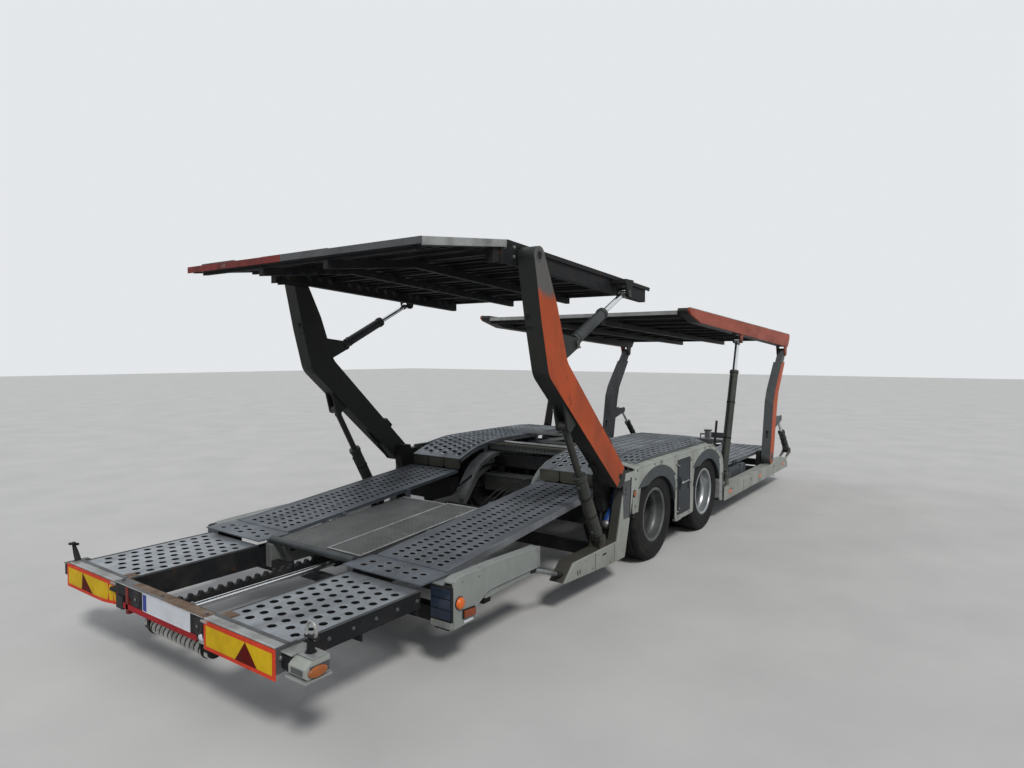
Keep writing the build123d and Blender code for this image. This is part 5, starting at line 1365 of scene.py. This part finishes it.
def channel_and_pipe():
    """A tray, a pipe, a plate and a slanted channel between the raised decks."""
    build = Build()
    build.boxes(
        (3.470, 3.620, -0.436, 0.436, 0.9135, 0.9165, 0),
        (3.484, 3.490, -0.436, 0.436, 0.9165, 0.926, 0),
        (3.604, 3.610, -0.436, 0.436, 0.9165, 0.926, 0),
        (3.700, 3.740, -0.416, -0.404, 0.846, 0.905, 1),
        (3.700, 3.740, 0.404, 0.416, 0.846, 0.905, 1),
        (3.930, 4.010, -0.430, 0.430, 0.872, 0.884, 0),
    )
    build.bar((3720, -430, 905), (3720, 430, 905), 0.020, 20, 1)
    for ds0, ds1, thick in ((-40, 40, 4), (-40, -34, 24), (34, 40, 24)):
        low = [(4235 + ds0, 600), (4235 + ds1, 600), (4175 + ds1, -520), (4175 + ds0, -520)]
        build.loft(*([spot(s, y, 951 + rise) for s, y in low] for rise in (0, thick)), 1)
    build.make("channel_and_pipe", "root", ["flap_brown", "pale_metal"], 0.002)


ARCH = smooth_line(metres([(2952, 470), (2966, 503), (3160, 744), (3400, 849), (4900, 849),
                           (5300, 704)]), 0.3)


def arch_flange(name, side):
    """Flanges on top of the cranked beams."""
    build = Build(side)
    build.strip(ARCH, 0, 0, 0.008, -0.004, 0.318, 0.441)
    build.strip(ARCH, 0, 0.75, -0.004, -0.030, 0.318, 0.324)
    build.make(f"arch_flange_{name}", "root", ["flange_grey"], 0.002)


def cover_trim():
    """Pale edges, bolts and two dished handles on the centre covers."""
    build = Build()
    slope = (-0.065, 0, 1)
    for s in (1500, 2080):
        z = 542 + (s - 1150) * 80 / 1225
        build.turned([(0, 0.030), (0.002, 0.032), (0.003, 0.028), (-0.002, 0.020),
                      (-0.003, 0.001)], (s, -360, z - 0.5), 24, 0, slope)
        build.bar((s, -385, z + 4), (s, -335, z + 4), 0.005, 10, 1)
    line = metres([(1045, 542.5), (2230, 619.8)])
    for u0, u1, y0, y1 in ((0, 0, -0.419, -0.405), (0, 0, -0.120, -0.106),
                           (0, 0.014, -0.405, -0.120), (-0.014, 0, -0.405, -0.120)):
        build.strip(line, u0, u1, 0.003, -0.002, y0, y1, 2)
    line = metres([(1045, 520), (2270, 600)])
    for u0, u1 in ((0, 0.016), (-0.016, 0)):
        build.strip(line, u0, u1, 0.003, -0.002, -0.095, 0.414, 2)
    for y, rise in ((-0.395, 0.022), (-0.130, 0.022), (-0.080, 0), (0.395, 0)):
        for k in range(6):
            (x, z), _ = path_at(line, 0.05 + k * 0.225)
            build.bolts([Vector((x, y, z + rise))], 0.006, 1, slope)
    build.make("cover_trim", "root", ["black_steel", "bolt_steel", "pale_metal"],
               0.0008)


def underframe_gear():
    """Air tank, brake chambers, dampers, a valve block and lines under the frame."""
    build = Build()
    build.boxes(
        (3.330, 3.470, -0.372, 0.372, 0.500, 0.655, 1),
        (3.322, 3.330, -0.372, 0.372, 0.640, 0.662, 0),
        (3.420, 3.460, -0.27, -0.23, 0.640, 0.715, 2),
        (3.420, 3.460, 0.23, 0.27, 0.640, 0.715, 2),
        (2.560, 2.700, -0.20, 0.10, 0.352, 0.470, 2),
    )
    tank, length, r = spot(5720, -330, 400), 0.66, 0.110
    dome = [(0, 0.3 * r), (0.02, 0.72 * r), (0.05, 0.95 * r), (0.07, r)]
    build.turned(dome + [(length - y, r) for y, r in reversed(dome)], tank, 28, 0)
    for share in (0.25, 0.75):
        build.turned([(-0.02, r + 0.001), (-0.018, r + 0.004), (0.018, r + 0.004),
                      (0.02, r + 0.001)], tank + Vector((0, length * share, 0)), 28, 2, close=True)
    for _, s in AXLES:
        for build.side in (-1, 1):
            c = build.place((s + 118, 560, 470))
            build.turned([(0, 0.050), (0.015, 0.070), (0.050, 0.074), (0.055, 0.082),
                          (0.070, 0.082), (0.075, 0.074), (0.150, 0.070), (0.165, 0.045)],
                         c, 28, 2, (1, 0, 0.12))
            build.bar(c - Vector((0.060, 0, 0.006)), c, 0.012, 12, 3)
            build.tube([c + Vector((0.09, 0, 0.08)), c + Vector((0.09, 0, 0.14)),
                        (s + 300, 500, 660), (s + 500, 455, 690)], 0.008, 8, 2)
            low, high = build.place((s - 100, 470, 480)), build.place((s - 20, 455, 760))
            build.turned([(0, 0.022), (0.01, 0.034), (0.16, 0.034), (0.165, 0.041),
                          (0.275, 0.041), (0.285, 0.022)], low, 20, 1, high - low)
    for build.side in (-1, 1):
        build.tube([(1100, 340, 440), (2300, 340, 440), (2620, 306, 440)], 0.010, 8, 2)
        build.tube([(2900, 340, 600), (3300, 357, 730), (4700, 357, 730), (5300, 340, 600),
                    (5800, 340, 350), (8300, 340, 350)], 0.010, 8, 2, 0.12)
    build.side = 1
    for y in (-160, -90, -20, 50):
        build.bar((2630, y, 470), (2630, y, 492), 0.016, 12, 3)
        build.tube([(2700, y, 440), (2800, y, 440), (2980, y * 0.8 - 100, 620),
                    (3350, y * 0.6 - 200, 660)], 0.006, 8, 4)
    build.make("underframe_gear", "root",
               ["grey_steel", "cylinder_paint", "black_steel", "bolt_steel", "hose_plastic"])


def post_lines(name, side):
    """Lines beside the lift cylinder and a strut behind the slanted post."""
    build = Build(side)
    build.tube([(2990, 1075, 360), (3010, 1085, 520), (3085, 1090, 640), (3105, 1080, 760)],
               0.011, 8, 0, 0.25)
    build.tube([(2960, 1085, 350), (2925, 1090, 500), (2990, 1080, 700), (3040, 1085, 800)],
               0.009, 8, 0, 0.25)
    low, high = build.place((2980, 1110, 440)), build.place((3200, 1110, 700))
    d = high - low
    build.turned([(0, 0.020), (0.012, 0.030), (0.020, 0.0365), (0.045, 0.0365), (0.048, 0.034)],
                 low - d.normalized() * 0.02, 24, 1, d)
    build.turned([(0, 0.034), (0.003, 0.0365), (0.030, 0.0365), (0.042, 0.024), (0.070, 0.020),
                  (0.072, 0.012)], low + d * 0.93, 24, 1, d)
    build.turned([(0, 0.0345), (0, 0.037), (0.028, 0.037), (0.028, 0.0345)], low + d * 0.42, 24,
                 0, d, close=True)
    build.make(f"post_lines_{name}", "root", ["hose_plastic", "bolt_steel"])


def front_gear(name, side):
    """The dark strut beside the front lift cylinder, and the side tank's straps and cap."""
    build = Build(side)
    build.bar((5560, 1085, 480), (5690, 1085, 1060), 0.013, 12, 0)
    build.box(5.535, 5.600, 1.060, 1.120, 0.300, 0.490, 0)
    for s in (6.130, 6.590):
        build.box(s - 0.022, s + 0.022, 0.857, 1.109, 0.232, 0.458, 1)
    build.turned([(0, 0.036), (0.012, 0.036), (0.014, 0.040), (0.030, 0.040), (0.034, 0.034)],
                 (6680, 980, 455), 24, 1, (0, 0, 1))
    build.make(f"front_gear_{name}", "root", ["black_steel", "grey_steel"], 0.002)


def drawbar_gear():
    """Eye bush, bolts and a bracket with blank sockets; the support leg's crank and bolts."""
    build = Build()
    up, eye, leg = (0, 0, 1), 9545, 8560
    for way in (-1, 1):
        build.turned([(way * d, r) for d, r in ((0.024, 0.0203), (0.024, 0.034), (0.027, 0.037),
                                                (0.027, 0.048), (0.0235, 0.050))],
                     (eye, 0, 420), 40, 0, up)
    build.bolts([(eye + ds, y, 460) for ds in (-300, -190) for y in (-35, 35)], 0.013, 0, up)
    build.box(8.995, 9.010, -0.11, 0.11, 0.465, 0.545, 1)
    for k in range(4):
        build.turned([(0, 0.020), (0.016, 0.020), (0.018, 0.017), (0.040, 0.015), (0.043, 0.010)],
                     (9010, -75 + 50 * k, 515), 20, 2 + k % 2, (1, 0, 0))
    build.box(8.510, 8.610, -0.050, 0.050, 0.614, 0.632, 1)
    build.box(8.514, 8.606, -0.046, 0.046, 0.120, 0.150, 1)
    build.bar((leg, 40, 560), (leg, 120, 560), 0.014, 14, 0)
    build.tube([(leg, 118, 560), (leg + 20, 125, 500), (leg + 90, 125, 420),
                (leg + 90, 165, 420), (leg + 90, 245, 420)], 0.009, 10, 0, 0.2)
    build.bolts([(leg + ds, y, 12) for ds in (-85, 85) for y in (-85, 85)], 0.010, 0, up)
    build.make("drawbar_gear", "root",
               ["bolt_steel", "grey_steel", "strip_red", "board_yellow"], 0.002)


def extension_trim():
    """The rod's end nut, and the runways' edge lips, bolts and guide plates."""
    build = Build()
    ahead = (1, 0, 0)
    build.turned([(0, 0.034), (0.022, 0.034), (0.024, 0.030)], (70, -160, 455), 6, 0, ahead, False)
    build.turned([(0, 0.026), (0.030, 0.026), (0.033, 0.020)], (94, -160, 455), 24, 0, ahead)
    for build.side in (1, -1):
        for y in (0.458, 1.031):
            build.box(0.075, 0.930, y, y + 0.006, 0.486, 0.494, 1)
        build.bolts([(150 + 150 * k, 1035, 440) for k in range(6)], 0.009, 1)
        build.box(0.600, 0.900, 0.4995, 0.503, 0.352, 0.480, 1)
    build.make("extension_trim", "rear_extension", ["bolt_steel", "grey_steel"],
               0.001)


for name, side in SIDES:
    beam_trim(name, side)
front_platform_edge()
channel_and_pipe()
for name, side in SIDES:
    arch_flange(name, side)
cover_trim()
underframe_gear()
for name, side in SIDES:
    post_lines(name, side)
    front_gear(name, side)
drawbar_gear()
extension_trim()

# Camera at the photograph's place
FOCAL_PX, IMAGE_WIDTH_PX, SENSOR = 669.6, 1024, 36.0
YAW, PITCH, ROLL = math.radians(35.38), math.radians(-2.45), math.radians(0.16)
PLACE = (-6.544, -3.547, 1.785)
forward = Vector((math.cos(YAW) * math.cos(PITCH), math.sin(YAW) * math.cos(PITCH),
                  math.sin(PITCH)))
level = forward.cross(Vector((0, 0, 1))).normalized()
above = level.cross(forward)
right = level * math.cos(ROLL) + above * math.sin(ROLL)
up = above * math.cos(ROLL) - level * math.sin(ROLL)
camera_data = bpy.data.cameras.new("camera")
camera_data.sensor_width = SENSOR
camera_data.lens = FOCAL_PX * SENSOR / IMAGE_WIDTH_PX
camera = bpy.data.objects.new("camera", camera_data)
camera.matrix_world = Matrix([*zip(right, up, -forward, PLACE), (0, 0, 0, 1)])
bpy.context.scene.collection.objects.link(camera)
bpy.context.scene.camera = camera

# Floor
floor_mat, tree, bsdf = new_material("floor_grey")
coord = tree.nodes.new("ShaderNodeTexCoord").outputs["Object"]
share = remap(tree, noise(tree, coord, 1.2, 6), 0.3, 0.7, 0, 1)
tone = mix_color(tree, share, (0.47, 0.47, 0.47), (0.53, 0.53, 0.525))
tree.links.new(tone, bsdf.inputs["Base Color"])
fill(bsdf, Roughness=0.9, Specular_IOR_Level=0.2)
mesh = bpy.data.meshes.new("floor")
size = 60
mesh.from_pydata([(-size, -size, 0), (size, -size, 0), (size, size, 0), (-size, size, 0)], [],
                 [[0, 1, 2, 3]])
mesh.materials.append(floor_mat)
floor = bpy.data.objects.new("floor", mesh)
bpy.context.scene.collection.objects.link(floor)


# Background and light
def seen_rays(tree):
    """1 for rays from the camera, and for reflected or transmitted ones."""
    path = tree.nodes.new("ShaderNodeLightPath")
    total = calc(tree, "MAXIMUM", path.outputs["Is Camera Ray"], path.outputs["Is Glossy Ray"])
    return calc(tree, "MAXIMUM", total, path.outputs["Is Transmission Ray"])


def background(tree, color, strength):
    node = tree.nodes.new("ShaderNodeBackground")
    fill(node, Color=(*color, 1), Strength=strength)
    return node.outputs[0]


world = bpy.data.worlds.new("world")
world.use_nodes = True
tree = world.node_tree
tree.nodes.clear()
mixer = tree.nodes.new("ShaderNodeMixShader")
shaders = (seen_rays(tree), background(tree, (0.92, 0.95, 1.0), 0.40),
           background(tree, (0.78, 0.80, 0.82), 1.0))
for output, socket in zip(shaders, mixer.inputs):
    tree.links.new(output, socket)
out = tree.nodes.new("ShaderNodeOutputWorld")
tree.links.new(mixer.outputs[0], out.inputs["Surface"])
bpy.context.scene.world = world


def sun(name, strength, angle, azimuth, elevation, color):
    data = bpy.data.lights.new(name, "SUN")
    data.energy = strength
    data.angle = math.radians(angle)
    data.color = color
    obj = bpy.data.objects.new(name, data)
    a, e = math.radians(azimuth), math.radians(elevation)
    toward = Vector((math.cos(a) * math.cos(e), math.sin(a) * math.cos(e), math.sin(e)))
    obj.rotation_euler = toward.to_track_quat("Z", "Y").to_euler()
    bpy.context.scene.collection.objects.link(obj)


sun("key_light", 2.1, 12, 235, 48, (1, 0.98, 0.94))
sun("fill_light", 0.6, 50, 100, 35, (0.93, 0.96, 1))

bpy.context.scene.view_settings.view_transform = "Standard"
